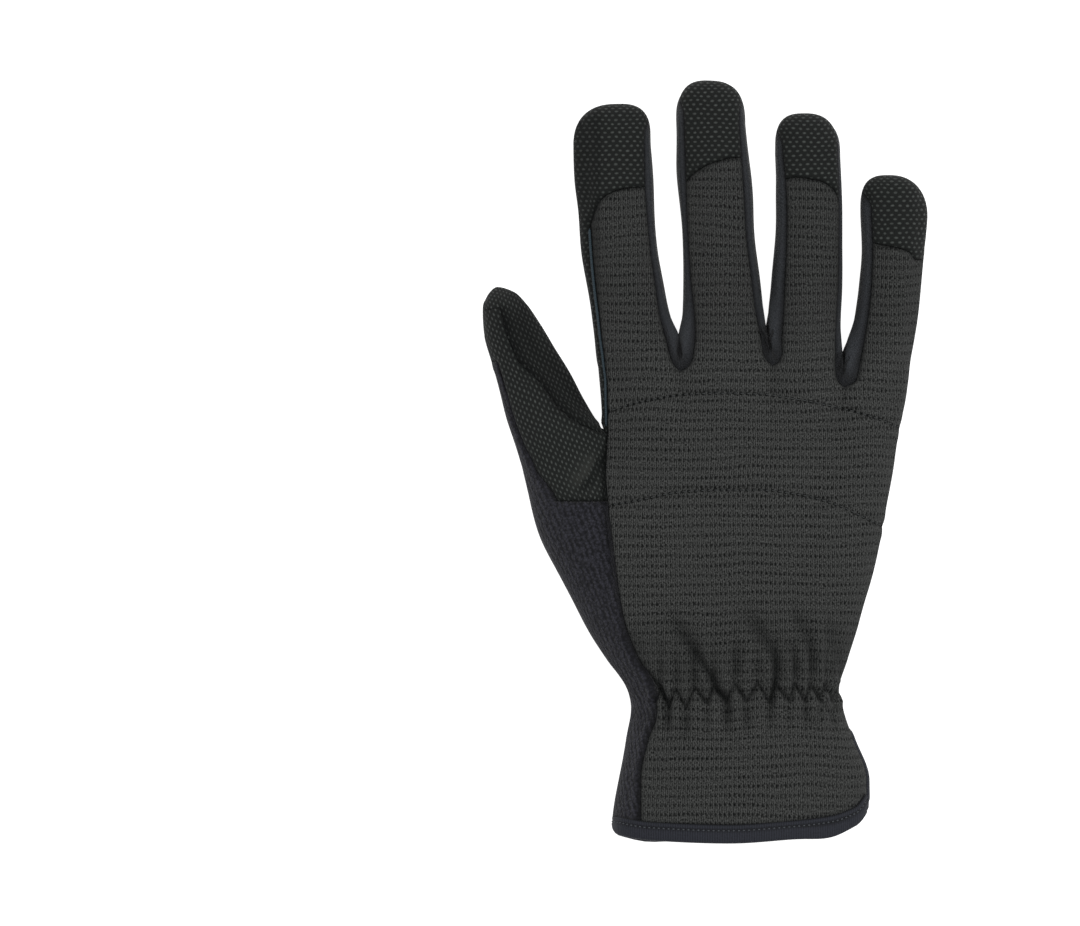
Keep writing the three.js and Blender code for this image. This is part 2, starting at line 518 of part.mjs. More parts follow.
// The thumb, whose rows run across it at a slant; its last row ends at the thumb's web
const thumbWeb = webLine(THUMB_WEB, 19.5, 11.5);

function thumbGrid() {
  const columnCount = 2 * THUMB_STEPS + 3 * SIDE_STEPS + OUTER_STEPS;
  const tip = addPoint(THUMB[0].lx, THUMB[0].ly, TIP_POLE);
  const grid = [Array(columnCount).fill(tip)];
  const palmSeam = degrees(42);
  const last = THUMB.length - 1;
  THUMB.forEach((rib, row) => {
    if (row === 0) return;
    const grown = ease((row - 4) / (last - 4));
    const top = lerp(THUMB_TOP, THUMB_BASE_TOP, grown);
    const side = lerp(FINGER_SIDE, 10.5, grown);
    const poleSide = lerp(TIP_POLE, side, rib.size);
    const at = (angle) => {
      const part = (1 + across(angle)) / 2;
      const [x, y] = [lerp(rib.lx, rib.rx, part), lerp(rib.ly, rib.ry, part)];
      if (angle >= 0) return addPoint(x, y, poleSide + (top - side) * rib.size * height(angle));
      return addPoint(x, y, poleSide - side * UNDER_SWELL * rib.size * depth(angle));
    };
    const run = (first, end, steps) => Array.from({ length: steps }, (_, i) => at(lerp(first, end, i / steps)));
    const [terryBack, stitched, terryPalm] = [rib.terryBack, rib.stitched, rib.terryPalm].map(angleAt);
    const outerTop = [...run(Math.PI, terryBack, SIDE_STEPS), ...run(terryBack, stitched, THUMB_STEPS)];
    const under = run(-palmSeam, -terryPalm, THUMB_STEPS);
    const outerUnder = run(-terryPalm, -Math.PI, OUTER_STEPS);
    if (row === last) {
      grid.push([...outerTop, ...thumbWeb, ...under.slice(1), ...outerUnder]);
      return;
    }
    const inner = [...run(stitched, 0, SIDE_STEPS), at(0), ...run(0, -palmSeam, SIDE_STEPS).slice(1)];
    grid.push([...outerTop, ...inner, ...under, ...outerUnder]);
  });
  return grid;
}

// Named columns of the thumb's loop: the terry seam, the stitched seam, the inner palm side
const T_TERRY = SIDE_STEPS;
const T_STITCHED = T_TERRY + THUMB_STEPS;
const T_PALM = T_STITCHED + 2 * SIDE_STEPS;
const T_TERRY_PALM = T_PALM + THUMB_STEPS;

function thumbPanel(row, column) {
  if (column >= T_STITCHED && column < T_TERRY_PALM) return "thumb_front";
  if (column >= T_TERRY_PALM) return row < TERRY_ROW ? "thumb_front" : "terry_panel";
  if (row < PATCH_TIP_ROW) return "thumb_front";
  if (column >= T_TERRY) return "thumb_back_patch";
  return row < TERRY_ROW + 1 ? "thumb_back_patch" : "terry_panel";
}

const thumb = thumbGrid();
addFaces(thumb, true, thumbPanel);
const thumbBase = thumb[thumb.length - 1];

// Hand: the columns of the back, of the little finger's side and of the palm
const backLeftEdge = (y) => lerp(INDEX_LEFT, handLeft(y), ease((9.5 - y) / 60));
const onBack = { from: backEdge, to: handRight, left: backLeftEdge, fade: VALLEY_FADE };
const onPalm = { from: thumbSeam, to: handRight, left: backLeftEdge, fade: VALLEY_FADE, under: true };
const SIDE_SHARES = [0.955, 0.985, 1];
const backColumns = startBack.slice(1).map((start, i) => {
  const share = (SIDE_SHARES[0] * (i + 1)) / BACK_COLUMNS;
  return handColumn(start, 0, { ...onBack, share, fold: ripple(i) });
});
const rightColumns = [
  handColumn(startRight[0], 0, { ...onBack, share: SIDE_SHARES[1] }),
  handColumn(startRight[1], 0, { ...onBack, share: SIDE_SHARES[2] }),
  handColumn(startRight[2], 0, { ...onPalm, share: SIDE_SHARES[1] }),
];
const palmColumns = startPalm.slice(0, -1).map((start, i) => {
  const share = SIDE_SHARES[0] * (1 - i / PALM_COLUMNS);
  const sag = THUMB_WEB_SAG * clamp01((i - PALM_COLUMNS / 2) / (PALM_COLUMNS / 2));
  return handColumn(start, 0, { ...onPalm, share, sag, fold: ripple(i) });
});
const edgeAbove = linkColumn(startBack[0], thumbWeb[0]);
const edgeBelow = handColumn(thumbWeb[0], WEB_ROW, { ...onBack, share: 0, fade: THUMB_FADE, fold: -0.5 });
const seamAbove = linkColumn(startPalm[PALM_COLUMNS], thumbWeb[2 * SIDE_STEPS]);
const seamBelow = handColumn(thumbWeb[2 * SIDE_STEPS], WEB_ROW, { ...onPalm, left: handLeft, share: 0 });

// Above the thumb's web the loop closes along the side of the index finger
const upper = [
  linkColumn(startLeftTop[0], thumbWeb[SIDE_STEPS]),
  linkColumn(startLeftTop[1], thumbWeb[1]),
  edgeAbove, ...backColumns, ...rightColumns, ...palmColumns, seamAbove,
  linkColumn(startLeftUnder[0], thumbWeb[SIDE_STEPS + 1]),
];
const rowsOf = (columns, first, last) =>
  Array.from({ length: last - first + 1 }, (_, i) => columns.map((column) => column[first + i]));
const U_BACK_END = SIDE_STEPS + BACK_COLUMNS + SIDE_STEPS;
addFaces(rowsOf(upper, 0, WEB_ROW), true, (_, column) =>
  (column >= SIDE_STEPS && column < U_BACK_END ? "back_panel" : "palm_panel"));

// Below it the loop takes in the thumb's columns
const onThumbBack = { from: handLeft, to: backEdge, left: handLeft, fade: THUMB_FADE };
const onThumbUnder = { from: handLeft, to: terryEdge, left: handLeft, fade: THUMB_FADE, under: true };
const onThumbFront = { ...onThumbUnder, from: terryEdge, to: thumbSeam };
const thumbBackShares = [0, 0.06, 0.15, 0.36, 0.58, 0.79];
const lower = [
  ...thumbBackShares.map((share, i) => handColumn(thumbBase[i], WEB_ROW, { ...onThumbBack, share, fold: ripple(i) })),
  edgeBelow, ...backColumns, ...rightColumns, ...palmColumns, seamBelow,
  ...[0.75, 0.5, 0.25].map((share, i) => handColumn(thumbBase[T_PALM + 1 + i], WEB_ROW, { ...onThumbFront, share })),
  ...[1, 0.45, 0.15, 0.04].map((share, i) =>
    handColumn(thumbBase[T_TERRY_PALM + i], WEB_ROW, { ...onThumbUnder, share, fold: i === 1 ? 1 : 0 })),
];
const L_EDGE = T_STITCHED;
const L_SIDE = L_EDGE + BACK_COLUMNS + SIDE_STEPS;
const L_SEAM = L_SIDE + SIDE_STEPS + PALM_COLUMNS;
const L_TERRY = L_SEAM + THUMB_STEPS;

addFaces(rowsOf(lower, WEB_ROW, HEM_ROW), true, (row, column) => {
  const handRow = row + WEB_ROW;
  if (column < T_TERRY || column >= L_TERRY) return "terry_panel";
  if (column < L_EDGE) return handRow < PATCH_ROW ? "thumb_back_patch" : "terry_panel";
  if (column < L_SIDE) return "back_panel";
  if (column < L_SEAM) return "palm_panel";
  return handRow < FRONT_ROW ? "thumb_front" : "palm_panel";
});

// Outward direction at every point of the skin
const normals = points.map(() => new THREE.Vector3());
const triangles = faces.flatMap(({ panel, corners: [a, b, c, d] }) =>
  [[a, b, c], [a, c, d]].map((corners) => ({ panel, corners })))
  .filter(({ corners }) => new Set(corners).size === 3);
for (const { corners } of triangles) {
  const [a, b, c] = corners.map((i) => points[i]);
  const normal = b.clone().sub(a).cross(c.clone().sub(a));
  corners.forEach((i) => normals[i].add(normal));
}
normals.forEach((normal) => normal.normalize());

const hemPoints = new Set(lower.map((column) => column[HEM_ROW]));
const slitColumn = lower[L_SIDE];
const slitPoints = new Set(slitColumn.slice(SLIT_ROW + 1));

// How far a panel draws back from one of its edges
function drawBack(a, b) {
  if (hemPoints.has(a) && hemPoints.has(b)) return 0;
  const onSlit = (i) => slitPoints.has(i) || i === slitColumn[SLIT_ROW];
  return onSlit(a) && onSlit(b) ? SLIT_HALF_WIDTH : SEAM_GAP / 2;
}

function solidFrom(positions, indices) {
  const geometry = new THREE.BufferGeometry();
  geometry.setAttribute("position", new THREE.Float32BufferAttribute(positions.flatMap((p) => [p.x, p.y, p.z]), 3));
  geometry.setIndex(indices);
  geometry.computeVertexNormals();
  return geometry;
}

// A panel as a solid: its outer faces, the same faces one cloth thickness deeper, and a wall
// along its border, which lies half a seam gap inside the seam
function panelSolid(name) {
  const own = triangles.filter(({ panel }) => panel === name);
  const used = new Map();
  const edges = new Map();
  for (const { corners } of own) {
    corners.forEach((a, k) => {
      if (!used.has(a)) used.set(a, used.size);
      edges.set(`${a},${corners[(k + 1) % 3]}`, corners);
    });
  }
  const border = [...edges.keys()].map((key) => key.split(",").map(Number)).filter(([a, b]) => !edges.has(`${b},${a}`));
  const pulls = new Map();
  for (const [a, b] of border) {
    const [p, q, r] = edges.get(`${a},${b}`).map((i) => points[i]);
    const normal = q.clone().sub(p).cross(r.clone().sub(p)).normalize();
    const inward = normal.cross(points[b].clone().sub(points[a]).normalize());
    for (const end of [a, b]) {
      const atApex = end === slitColumn[SLIT_ROW];
      const amount = atApex ? Math.min(SEAM_GAP / 2, drawBack(a, b)) : drawBack(a, b);
      pulls.set(end, [...(pulls.get(end) ?? []), { inward, amount }]);
    }
  }
  const shift = (index) => {
    const [one, two] = pulls.get(index) ?? [];
    if (!one) return new THREE.Vector3();
    const cosine = one.inward.dot(two.inward);
    if (cosine > 0.9) return one.inward.clone().add(two.inward).normalize().multiplyScalar((one.amount + two.amount) / 2);
    const scale = 1 / Math.max(0.2, 1 - cosine ** 2);
    return one.inward.clone().multiplyScalar((one.amount - cosine * two.amount) * scale)
      .addScaledVector(two.inward, (two.amount - cosine * one.amount) * scale);
  };
  const outer = [...used.keys()].map((i) => points[i].clone().add(shift(i)));
  const inner = [...used.keys()].map((i, k) => outer[k].clone().addScaledVector(normals[i], -CLOTH));
  const count = used.size;
  const indices = own.flatMap(({ corners }) => {
    const [a, b, c] = corners.map((i) => used.get(i));
    return [a, b, c, c + count, b + count, a + count];
  });
  for (const [from, to] of border) {
    // Both panels at a seam split this wall along the same diagonal
    const [a, b] = [used.get(from), used.get(to)];
    if (from < to) indices.push(b, a, a + count, b, a + count, b + count);
    else indices.push(b, a, b + count, a, a + count, b + count);
  }
  return solidFrom([...outer, ...inner], indices);
}

// A section carried along a path of frames, closed at both ends
function sweep(rings) {
  const count = rings[0].length;
  const positions = rings.flat();
  const indices = [];
  for (let ring = 0; ring + 1 < rings.length; ring += 1) {
    for (let k = 0; k < count; k += 1) {
      const [a, b] = [ring * count + k, ring * count + ((k + 1) % count)];
      indices.push(a, b, b + count, a, b + count, a + count);
    }
  }
  for (let k = 1; k + 1 < count; k += 1) {
    const last = (rings.length - 1) * count;
    indices.push(0, k + 1, k, last, last + k, last + k + 1);
  }
  return solidFrom(positions, indices);
}

// A rounded bar's section around a centre, along two directions: two points at each corner
function barSection(centre, sideways, upwards, width, tall) {
  const round = 0.3 * Math.min(width, tall);
  const onSide = [0, round];
  const onEnd = [round, 0];
  return [[1, -1], [1, 1], [-1, 1], [-1, -1]].flatMap(([right, up]) => {
    const pair = right * up > 0 ? [onSide, onEnd] : [onEnd, onSide];
    return pair.map(([inX, inY]) => centre.clone()
      .addScaledVector(sideways, right * (width / 2 - inX))
      .addScaledVector(upwards, up * (tall / 2 - inY)));
  });
}

// Frame of the hem at a column: its point, outward direction and direction down past the hem
function hemFrame(column) {
  const [here, above] = [column[HEM_ROW], column[HEM_ROW - 1]].map((i) => points[i]);
  const outward = normals[column[HEM_ROW]].clone();
  const down = here.clone().sub(above).normalize();
  down.addScaledVector(outward, -down.dot(outward)).normalize();
  return { here, outward, down };
}

function cuffBinding() {
  const frames = [...lower.slice(L_SIDE), ...lower.slice(0, L_SIDE + 1)].map(hemFrame);
  const ends = [frames.slice(0, 2), frames.slice(-2).reverse()].map(([end, next]) => {
    const along = next.here.clone().sub(end.here).normalize();
    return { ...end, here: end.here.clone().addScaledVector(along, SLIT_HALF_WIDTH) };
  });
  // Frames too near an end would fold the tape over itself
  const between = frames.filter(({ here }) => here.distanceTo(frames[0].here) > SLIT_HALF_WIDTH + BINDING_THICKNESS);
  return sweep([ends[0], ...between, ends[1]].map(({ here, outward, down }) => {
    const centre = here.clone().addScaledVector(outward, -CLOTH / 2)
      .addScaledVector(down, SEAM_GAP + BINDING_HEIGHT / 2);
    return barSection(centre, outward, down, BINDING_THICKNESS, BINDING_HEIGHT);
  }));
}

// The tape round the side slit: up one edge, round the top and down the other
function ventBinding() {
  const column = slitColumn.slice(SLIT_ROW + 1);
  const frames = column.map((i, k) => {
    const [before, after] = [column[Math.max(k - 1, 0)], column[Math.min(k + 1, column.length - 1)]];
    const outward = normals[i];
    const down = points[after].clone().sub(points[before]);
    down.addScaledVector(outward, -down.dot(outward)).normalize();
    return { here: points[i], outward, down, aside: new THREE.Vector3().crossVectors(outward, down) };
  });
  const foot = frames[frames.length - 1];
  frames.push({ ...foot, here: foot.here.clone().addScaledVector(foot.down, SEAM_GAP + BINDING_HEIGHT) });
  const reach = SLIT_HALF_WIDTH - SEAM_GAP - VENT_TAPE_WIDTH / 2;
  const ring = ({ here, outward }, sideways) => {
    const centre = here.clone().addScaledVector(outward, -CLOTH / 2).addScaledVector(sideways, reach);
    return barSection(centre, outward, sideways, VENT_TAPE_THICKNESS, VENT_TAPE_WIDTH);
  };
  const top = { ...frames[0], here: frames[0].here.clone().addScaledVector(frames[0].down, SLIT_TOP_SET_BACK) };
  const turn = Array.from({ length: SLIT_TURN_STEPS + 1 }, (_, step) => {
    const angle = (Math.PI * step) / SLIT_TURN_STEPS;
    return ring(top, top.aside.clone().multiplyScalar(Math.cos(angle)).addScaledVector(top.down, -Math.sin(angle)));
  });
  const edges = frames.slice(1);
  return sweep([
    ...edges.map((frame) => ring(frame, frame.aside)).reverse(),
    ...turn,
    ...edges.map((frame) => ring(frame, frame.aside.clone().negate())),
  ]);
}

// Piping in the seam along the thumb side of the index finger
function indexPiping() {
  const seam = fingers[0].slice(CAP_ROW).map((row) => row[D_LEFT]);
  const line = [...seam, ...edgeAbove.slice(1, WEB_ROW)].map((i) =>
    points[i].clone().addScaledVector(normals[i], PIPING_RADIUS + SEAM_GAP));
  const path = new THREE.CatmullRomCurve3(line);
  const section = new THREE.Shape();
  section.absarc(0, 0, PIPING_RADIUS, 0, 2 * Math.PI);
  return new THREE.ExtrudeGeometry(section, { steps: 20, curveSegments: 6, extrudePath: path });
}

// A patch sewn on the palm: a smooth outline with the patch's thickness
function palmPatch(outline) {
  const path = new THREE.CatmullRomCurve3(outline.map(({ x, y }) => new THREE.Vector3(x, y, 0)), true, "centripetal");
  const shape = new THREE.Shape(path.getSpacedPoints(outline.length * 2).slice(0, -1).map((p) => new THREE.Vector2(p.x, p.y)));
  const geometry = new THREE.ExtrudeGeometry(shape, { depth: PATCH_THICKNESS, bevelEnabled: false });
  return geometry.translate(0, 0, PALM_LIFT - SEAM_GAP - PATCH_THICKNESS);
}

const glove = new THREE.Group();

function addPiece(name, geometry, colour, roughness = 0.95) {
  const material = new THREE.MeshStandardMaterial({ color: colour, roughness, metalness: 0 });
  const mesh = new THREE.Mesh(geometry, material);
  mesh.name = name;
  glove.add(mesh);
}

const PANELS = {
  back_panel: COLOURS.knit,
  palm_panel: COLOURS.dotted,
  thumb_front: COLOURS.dotted,
  thumb_back_patch: COLOURS.dotted,
  terry_panel: COLOURS.terry,
};
for (const [name, colour] of Object.entries(PANELS)) addPiece(name, panelSolid(name), colour);
for (const name of GUSSETS) addPiece(name, panelSolid(name), COLOURS.stretch, 0.8);
addPiece("cuff_binding", cuffBinding(), COLOURS.tape, 0.7);
addPiece("vent_binding", ventBinding(), COLOURS.tape, 0.7);
addPiece("index_piping", indexPiping(), COLOURS.piping, 0.6);
addPiece("palm_patch_upper", palmPatch(UPPER_PATCH), COLOURS.dotted);
addPiece("palm_patch_lower", palmPatch(LOWER_PATCH), COLOURS.dotted);

// The origin is the middle of the footprint, at floor height
const box = new THREE.Box3().setFromObject(glove);
glove.position.set(-(box.min.x + box.max.x) / 2, -(box.min.y + box.max.y) / 2, -box.min.z);

export default glove;
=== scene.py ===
# %% [markdown]
# # A handling glove, lying palm down
#
# The real glove is sewn from flat pieces of cloth: a waffle-knit back, a palm printed with grip
# dots that rolls over the fingertips, narrow gussets between the fingers, a terry thumb side,
# a bound cuff and an elastic in the wrist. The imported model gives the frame: its box, its nodes
# and its material slots. This script dresses it. Everything here is worked out in millimetres
# and turned to metres when a mesh is made.

import math

import bpy
import numpy as np
from mathutils.bvhtree import BVHTree
from mathutils.kdtree import KDTree
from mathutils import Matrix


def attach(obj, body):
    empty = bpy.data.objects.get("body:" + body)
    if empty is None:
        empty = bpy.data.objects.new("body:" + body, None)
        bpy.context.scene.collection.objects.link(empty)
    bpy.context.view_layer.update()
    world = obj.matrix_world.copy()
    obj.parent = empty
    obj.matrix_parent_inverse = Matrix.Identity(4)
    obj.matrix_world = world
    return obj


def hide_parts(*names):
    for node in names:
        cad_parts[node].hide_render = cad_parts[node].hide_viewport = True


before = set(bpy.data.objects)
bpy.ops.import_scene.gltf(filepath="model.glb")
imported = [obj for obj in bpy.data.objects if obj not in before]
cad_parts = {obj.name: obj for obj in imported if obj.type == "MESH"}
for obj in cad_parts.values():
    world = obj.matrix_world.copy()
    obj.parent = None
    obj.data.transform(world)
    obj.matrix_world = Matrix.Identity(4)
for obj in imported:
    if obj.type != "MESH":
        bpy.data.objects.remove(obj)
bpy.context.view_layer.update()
MM = 0.001

# %% [markdown]
# ## Driving sizes
#
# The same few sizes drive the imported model. A finger's cross-section is a superellipse, which is
# rounder than a box and fuller than an ellipse, as cloth is that was cut for a hand and is empty.

# %% Sizes of the cloth and of the cross-sections
CLOTH = 1.4
TIP_POWER = 2.6
SECTION_POWER, UNDER_POWER, UNDER_SWELL = 2.2, 2.6, 1.12
ARCH_POWER, PALM_POWER, PALM_SWELL, SINK = 2.3, 3.2, 1.05, 0.2
FINGER_SIDE, FINGER_TOP, TIP_POLE = 8.5, 17.5, 7.5
GUSSET_ANGLE, BACK_SEAM_ANGLE, PALM_SEAM_ANGLE = 5, 36, 42
EDGE_SHARE = 0.985
THUMB_TOP, THUMB_BASE_TOP, THUMB_BASE_SIDE = 18.0, 20.5, 10.5
BASE_BLEND, VALLEY_FADE, THUMB_FADE = 26.0, 26.0, 75.0
THUMB_WEB_SAG = 8.0
THUMB_FRONT_DROP = 3.2
PALM_LIFT, HEM_LIFT = 2.0, 0.9
WRIST_Y, HEM_Y = -74.0, -116.0
SLIT_HALF_WIDTH = 2.6
SEAM_GAP = 0.3
HEM_TAPE, HEM_TAPE_THICK = 6.2, 3.0
SLIT_TAPE, SLIT_TAPE_THICK = 1.5, 1.9
PIPING_RADIUS = 0.45
PATCH_THICK = 1.2

# %% Fingers from above: outline and back seams at height y, and the rolled-over tip's seam
FINGER_KEYS = ("y", "left", "right", "back_left", "back_right")
FINGERS = [
    {"tip": (-28.6, 117.5), "shoulder": 104.0, "rows": [
        (104, -42.9, -17.4, -38.2, -19.4), (92, -42.5, -16.8, -38.0, -19.2),
        (81, -41.2, -16.1, -37.6, -18.4), (69, -40.0, -15.0, -36.9, -17.3),
        (58, -38.5, -13.0, -35.9, -15.7), (48, -37.0, -11.0, -34.7, -14.3),
        (40, -35.7, -8.3, -33.8, -12.6), (35.6, -35.2, -8.2, -33.1, -11.6),
        (33.2, -34.9, -8.2, -32.8, -10.8), (31.6, -34.6, -8.1, -32.6, -9.8),
        (30, -34.4, -8.1, -32.4, -8.0), (27, -34.0, -8.0, -31.9, -8.0)]},
    {"tip": (1.8, 125.0), "shoulder": 110.5, "rows": [
        (110.5, -9.4, 13.3, -7.0, 11.6), (98, -9.2, 14.4, -6.6, 12.5), (86, -8.4, 15.6, -6.3, 13.3),
        (74, -7.7, 16.6, -5.8, 14.0), (60, -7.1, 18.0, -4.9, 15.7), (49, -7.2, 19.1, -3.7, 17.0),
        (41, -8.2, 20.1, -3.1, 18.0), (36, -8.2, 20.8, -3.6, 18.5), (34.3, -8.2, 21.0, -3.9, 19.2),
        (32.8, -8.2, 21.3, -4.5, 20.4), (31.7, -8.1, 21.4, -5.1, 22.0), (30, -8.1, 21.7, -8.0, 22.0)]},
    {"tip": (32.2, 114.2), "shoulder": 100.5, "rows": [
        (100.5, 22.9, 44.3, 25.2, 43.7), (92, 23.3, 44.7, 26.1, 44.1), (81, 23.1, 45.0, 26.6, 44.3),
        (69, 22.5, 45.1, 26.4, 44.2), (58, 21.9, 44.8, 25.9, 44.0), (49, 20.9, 44.6, 25.5, 43.5),
        (40, 20.2, 44.7, 25.2, 43.0), (36, 20.7, 44.8, 25.3, 42.8), (34.3, 20.9, 44.8, 24.7, 42.6),
        (32.7, 21.1, 44.9, 23.8, 42.5), (31.7, 21.2, 44.9, 22.0, 42.4), (27.8, 21.7, 45.2, 22.0, 42.7),
        (26.1, 21.8, 45.2, 22.0, 43.5), (24.7, 21.9, 45.3, 22.0, 45.7)]},
    {"tip": (59.9, 94.3), "shoulder": 80.5, "rows": [
        (80.5, 50.8, 72.2, 54.2, 69.7), (70, 51.0, 71.6, 54.6, 69.1), (58, 50.3, 70.6, 54.2, 68.1),
        (48, 48.8, 69.6, 53.1, 67.1), (40, 46.5, 68.4, 51.8, 65.9), (33, 45.0, 67.1, 50.8, 64.8),
        (28, 45.1, 66.5, 49.8, 64.0), (25.9, 45.3, 66.2, 48.3, 63.8), (24.7, 45.4, 66.0, 45.7, 63.6),
        (22, 45.5, 65.7, 45.7, 63.2)]},
]

# %% The seams of the rolled-over fingertips: share of the way across the back, and y
CAPS = [np.array(cap) for cap in (
    [(0, 78.0), (0.07, 80.2), (0.15, 83.4), (0.24, 85.8), (0.36, 87.6), (0.53, 89.2), (0.66, 89.8),
     (1, 90.2)],
    [(0, 91.4), (0.12, 93.4), (0.26, 95.4), (0.52, 98.2), (0.77, 99.6), (1, 99.7)],
    [(0, 92.6), (0.25, 93.3), (0.56, 92.4), (0.84, 89.6), (1, 85.8)],
    [(0, 71.9), (0.4, 70.8), (0.81, 68.9), (1, 66.4)],
)]
CAP_MIDDLES = [float(np.interp(0.5, *cap.T)) for cap in CAPS]

# %% Where the fingers meet: lowest point of the back seam, crotch, and palm seam
WEBS = [
    {"back": (-8.0, 30.0), "crotch": (-8.3, 39.3), "palm": (-8.3, 36.5)},
    {"back": (22.0, 31.7), "crotch": (20.1, 44.0), "palm": (19.2, 40.0)},
    {"back": (45.7, 24.7), "crotch": (44.9, 35.9), "palm": (44.4, 32.5)},
]
INDEX_BASE = {"back": (-32.2, 27.5), "crotch": (-34.5, 31.0), "palm": (-31.5, 34.0)}
LITTLE_BASE = {"back": (63.6, 26.0), "crotch": (66.4, 27.5), "palm": (63.6, 30.0)}
THUMB_WEB = {"back": (-31.8, 9.5), "crotch": (-33.5, 11.4), "palm": (-32.3, 7.5)}

# %% Thumb: left and right end of each slanted section, and the seams across it
THUMB_KEYS = ("lx", "ly", "rx", "ry", "stitched", "terry_back", "terry_palm")
THUMB = np.array([
    (-67.7, 57.4, -67.7, 57.4, -0.20, -0.90, -0.75),
    (-71.0, 54.2, -62.4, 56.0, -0.20, -0.90, -0.75),
    (-72.2, 49.8, -57.9, 52.1, -0.20, -0.95, -0.70),
    (-71.7, 42.0, -52.9, 45.0, -0.25, -0.95, -0.60),
    (-69.4, 33.0, -48.5, 37.2, -0.22, -0.86, -0.53),
    (-66.7, 23.2, -43.9, 29.4, 0.14, -0.86, -0.29),
    (-64.5, 15.0, -40.0, 21.9, 0.31, -0.86, -0.17),
    (-62.2, 7.5, -36.7, 16.3, 0.51, -0.84, -0.08),
    (-59.9, -1.6, -33.5, 11.4, 0.88, -0.72, -0.04),
])

# %% Hand and cuff: outline, thumb-side edge of the back panel, height, and widest line
HAND_KEYS = ("y", "left", "right", "back_edge", "top", "side")
HAND = np.array([
    (30, -34.3, 66.8, -32.4, 29, 11.5), (20, -33.9, 65.3, -31.4, 30.5, 12.5),
    (9.5, -61.5, 63.4, -31.8, 31.5, 13), (-1.6, -59.9, 61.8, -32.5, 32, 13.5),
    (-12.4, -57.2, 59.8, -31.9, 32.5, 14), (-23.5, -53.7, 57.9, -30.7, 33, 14.5),
    (-35, -48.5, 55.4, -29.3, 33, 14.5), (-45, -43.5, 52.7, -27.9, 33, 15),
    (-55, -38.0, 50.0, -25.5, 32.5, 15), (-64, -32.0, 46.8, -21.6, 31.5, 15),
    (-74, -25.3, 44.1, -15.6, 30, 15), (-80, -24.2, 45.2, -15.5, 30.5, 15),
    (-90, -25.9, 48.8, -18.7, 32.5, 15.5), (-103, -28.1, 53.4, -21.1, 34, 16.5),
    (-119, -30.2, 53.6, -21.1, 35, 17),
])
INDEX_LEFT = HAND[0, 1]

# %% Seams of the palm side, and the upper edge of the hem's tape on the back and on the palm
TERRY_EDGE = np.array([
    (9.5, -50.1), (-1.6, -45.4), (-12.4, -41.6), (-23.5, -37.6), (-35, -31.9), (-45, -21.9), (-55, -11.6),
    (-64, -6.6), (-78, -0.8), (-86, 1.4), (-119, 0.8),
])
THUMB_SEAM = np.array([
    (7.5, -32.3), (3, -27.0), (-2, -25.3), (-15, -26.6), (-25, -28.4), (-33, -29.6), (-45, -15.5),
    (-55, -4.6), (-78, 8), (-119, 9.5),
])
HEM_BACK = np.array([
    (-30.2, -115.3), (-18, -117.5), (8, -118.5), (28, -117.2), (41, -115.6), (49, -112.8), (53.6, -109.5),
])
HEM_PALM = np.array([
    (-30.2, -115.3), (-17, -118.0), (0, -117.0), (14, -114.3), (28, -111.6), (42, -109.8), (53.6, -109.5),
])

# %% [markdown]
# ## Helpers for smooth lines and sections
#
# A seam in a sewn glove is one flowing line, so each table is read through a smooth curve. A plain
# spline would overshoot between unevenly spaced rows, so the slopes are limited.

# %% Small helpers for numbers, directions and lengths
TURN = 2 * math.pi


def lerp(a, b, t):
    """From a to b as t goes from 0 to 1."""
    return a + (b - a) * t


def ease(t):
    """0 to 1 with a soft start and end: three t squared minus two t cubed."""
    t = np.clip(t, 0, 1)
    return t * t * (3 - 2 * t)


def bell(distance, wide):
    """1 at no distance, falling to nothing: e to the minus square of distance over width."""
    return np.exp(-((distance / wide) ** 2))


def signed_power(value, power):
    """The size of a value to a power, with the value's own sign."""
    return np.sign(value) * np.abs(value) ** power


def unit(vectors):
    """The vectors at length one."""
    return vectors / np.maximum(np.linalg.norm(vectors, axis=-1, keepdims=True), 1e-9)


def lengths(points):
    """The length along a chain of points, from 0 at the first one."""
    return np.r_[0, np.cumsum(np.linalg.norm(np.diff(points, axis=0), axis=1))]


def columns_at(q, run, values):
    """Every column of a table that is given at run, read at q."""
    return np.column_stack([np.interp(q, run, column) for column in values.T])


def smoothed(values, reach):
    """Each row as the mean of its neighbours up to a reach, with the ends repeated."""
    padded = np.concatenate([np.repeat(values[:1], reach, 0), values, np.repeat(values[-1:], reach, 0)])
    return np.stack([padded[k:k + len(values)] for k in range(2 * reach + 1)]).mean(axis=0)


def curve(at, value, flat_start=False):
    """A line through points that never overshoots: cubic pieces, whose slope at a point is the
    harmonic mean of the slopes on its two sides, or zero where the line turns back."""
    order = np.argsort(at)
    x, y = np.asarray(at, float)[order], np.asarray(value, float)[order]
    slope = np.diff(y) / np.diff(x)
    product = slope[:-1] * slope[1:]
    turning = product <= 0
    inner = np.where(turning, 0, 2 * product / np.where(turning, 1, slope[:-1] + slope[1:]))
    tangent = np.concatenate([slope[:1] * (not flat_start), inner, slope[-1:]])

    def line(q):
        q = np.clip(q, x[0], x[-1])
        i = np.clip(np.searchsorted(x, q, side="right") - 1, 0, len(x) - 2)
        width = x[i + 1] - x[i]
        t = (q - x[i]) / width
        rise = (1 - t) ** 2 * t * width * tangent[i] - t**2 * (1 - t) * width * tangent[i + 1]
        return lerp(y[i], y[i + 1], ease(t)) + rise

    return line


hand = dict(zip(HAND_KEYS, HAND.T))
hand_left = curve(hand["y"][2:], hand["left"][2:])
hand_right, back_edge, hand_top, hand_side = (curve(hand["y"], hand[key]) for key in HAND_KEYS[2:])
terry_edge = curve(*TERRY_EDGE.T)
thumb_seam = curve(*THUMB_SEAM.T)
hem_back = curve(*HEM_BACK.T)
hem_palm = curve(*HEM_PALM.T)

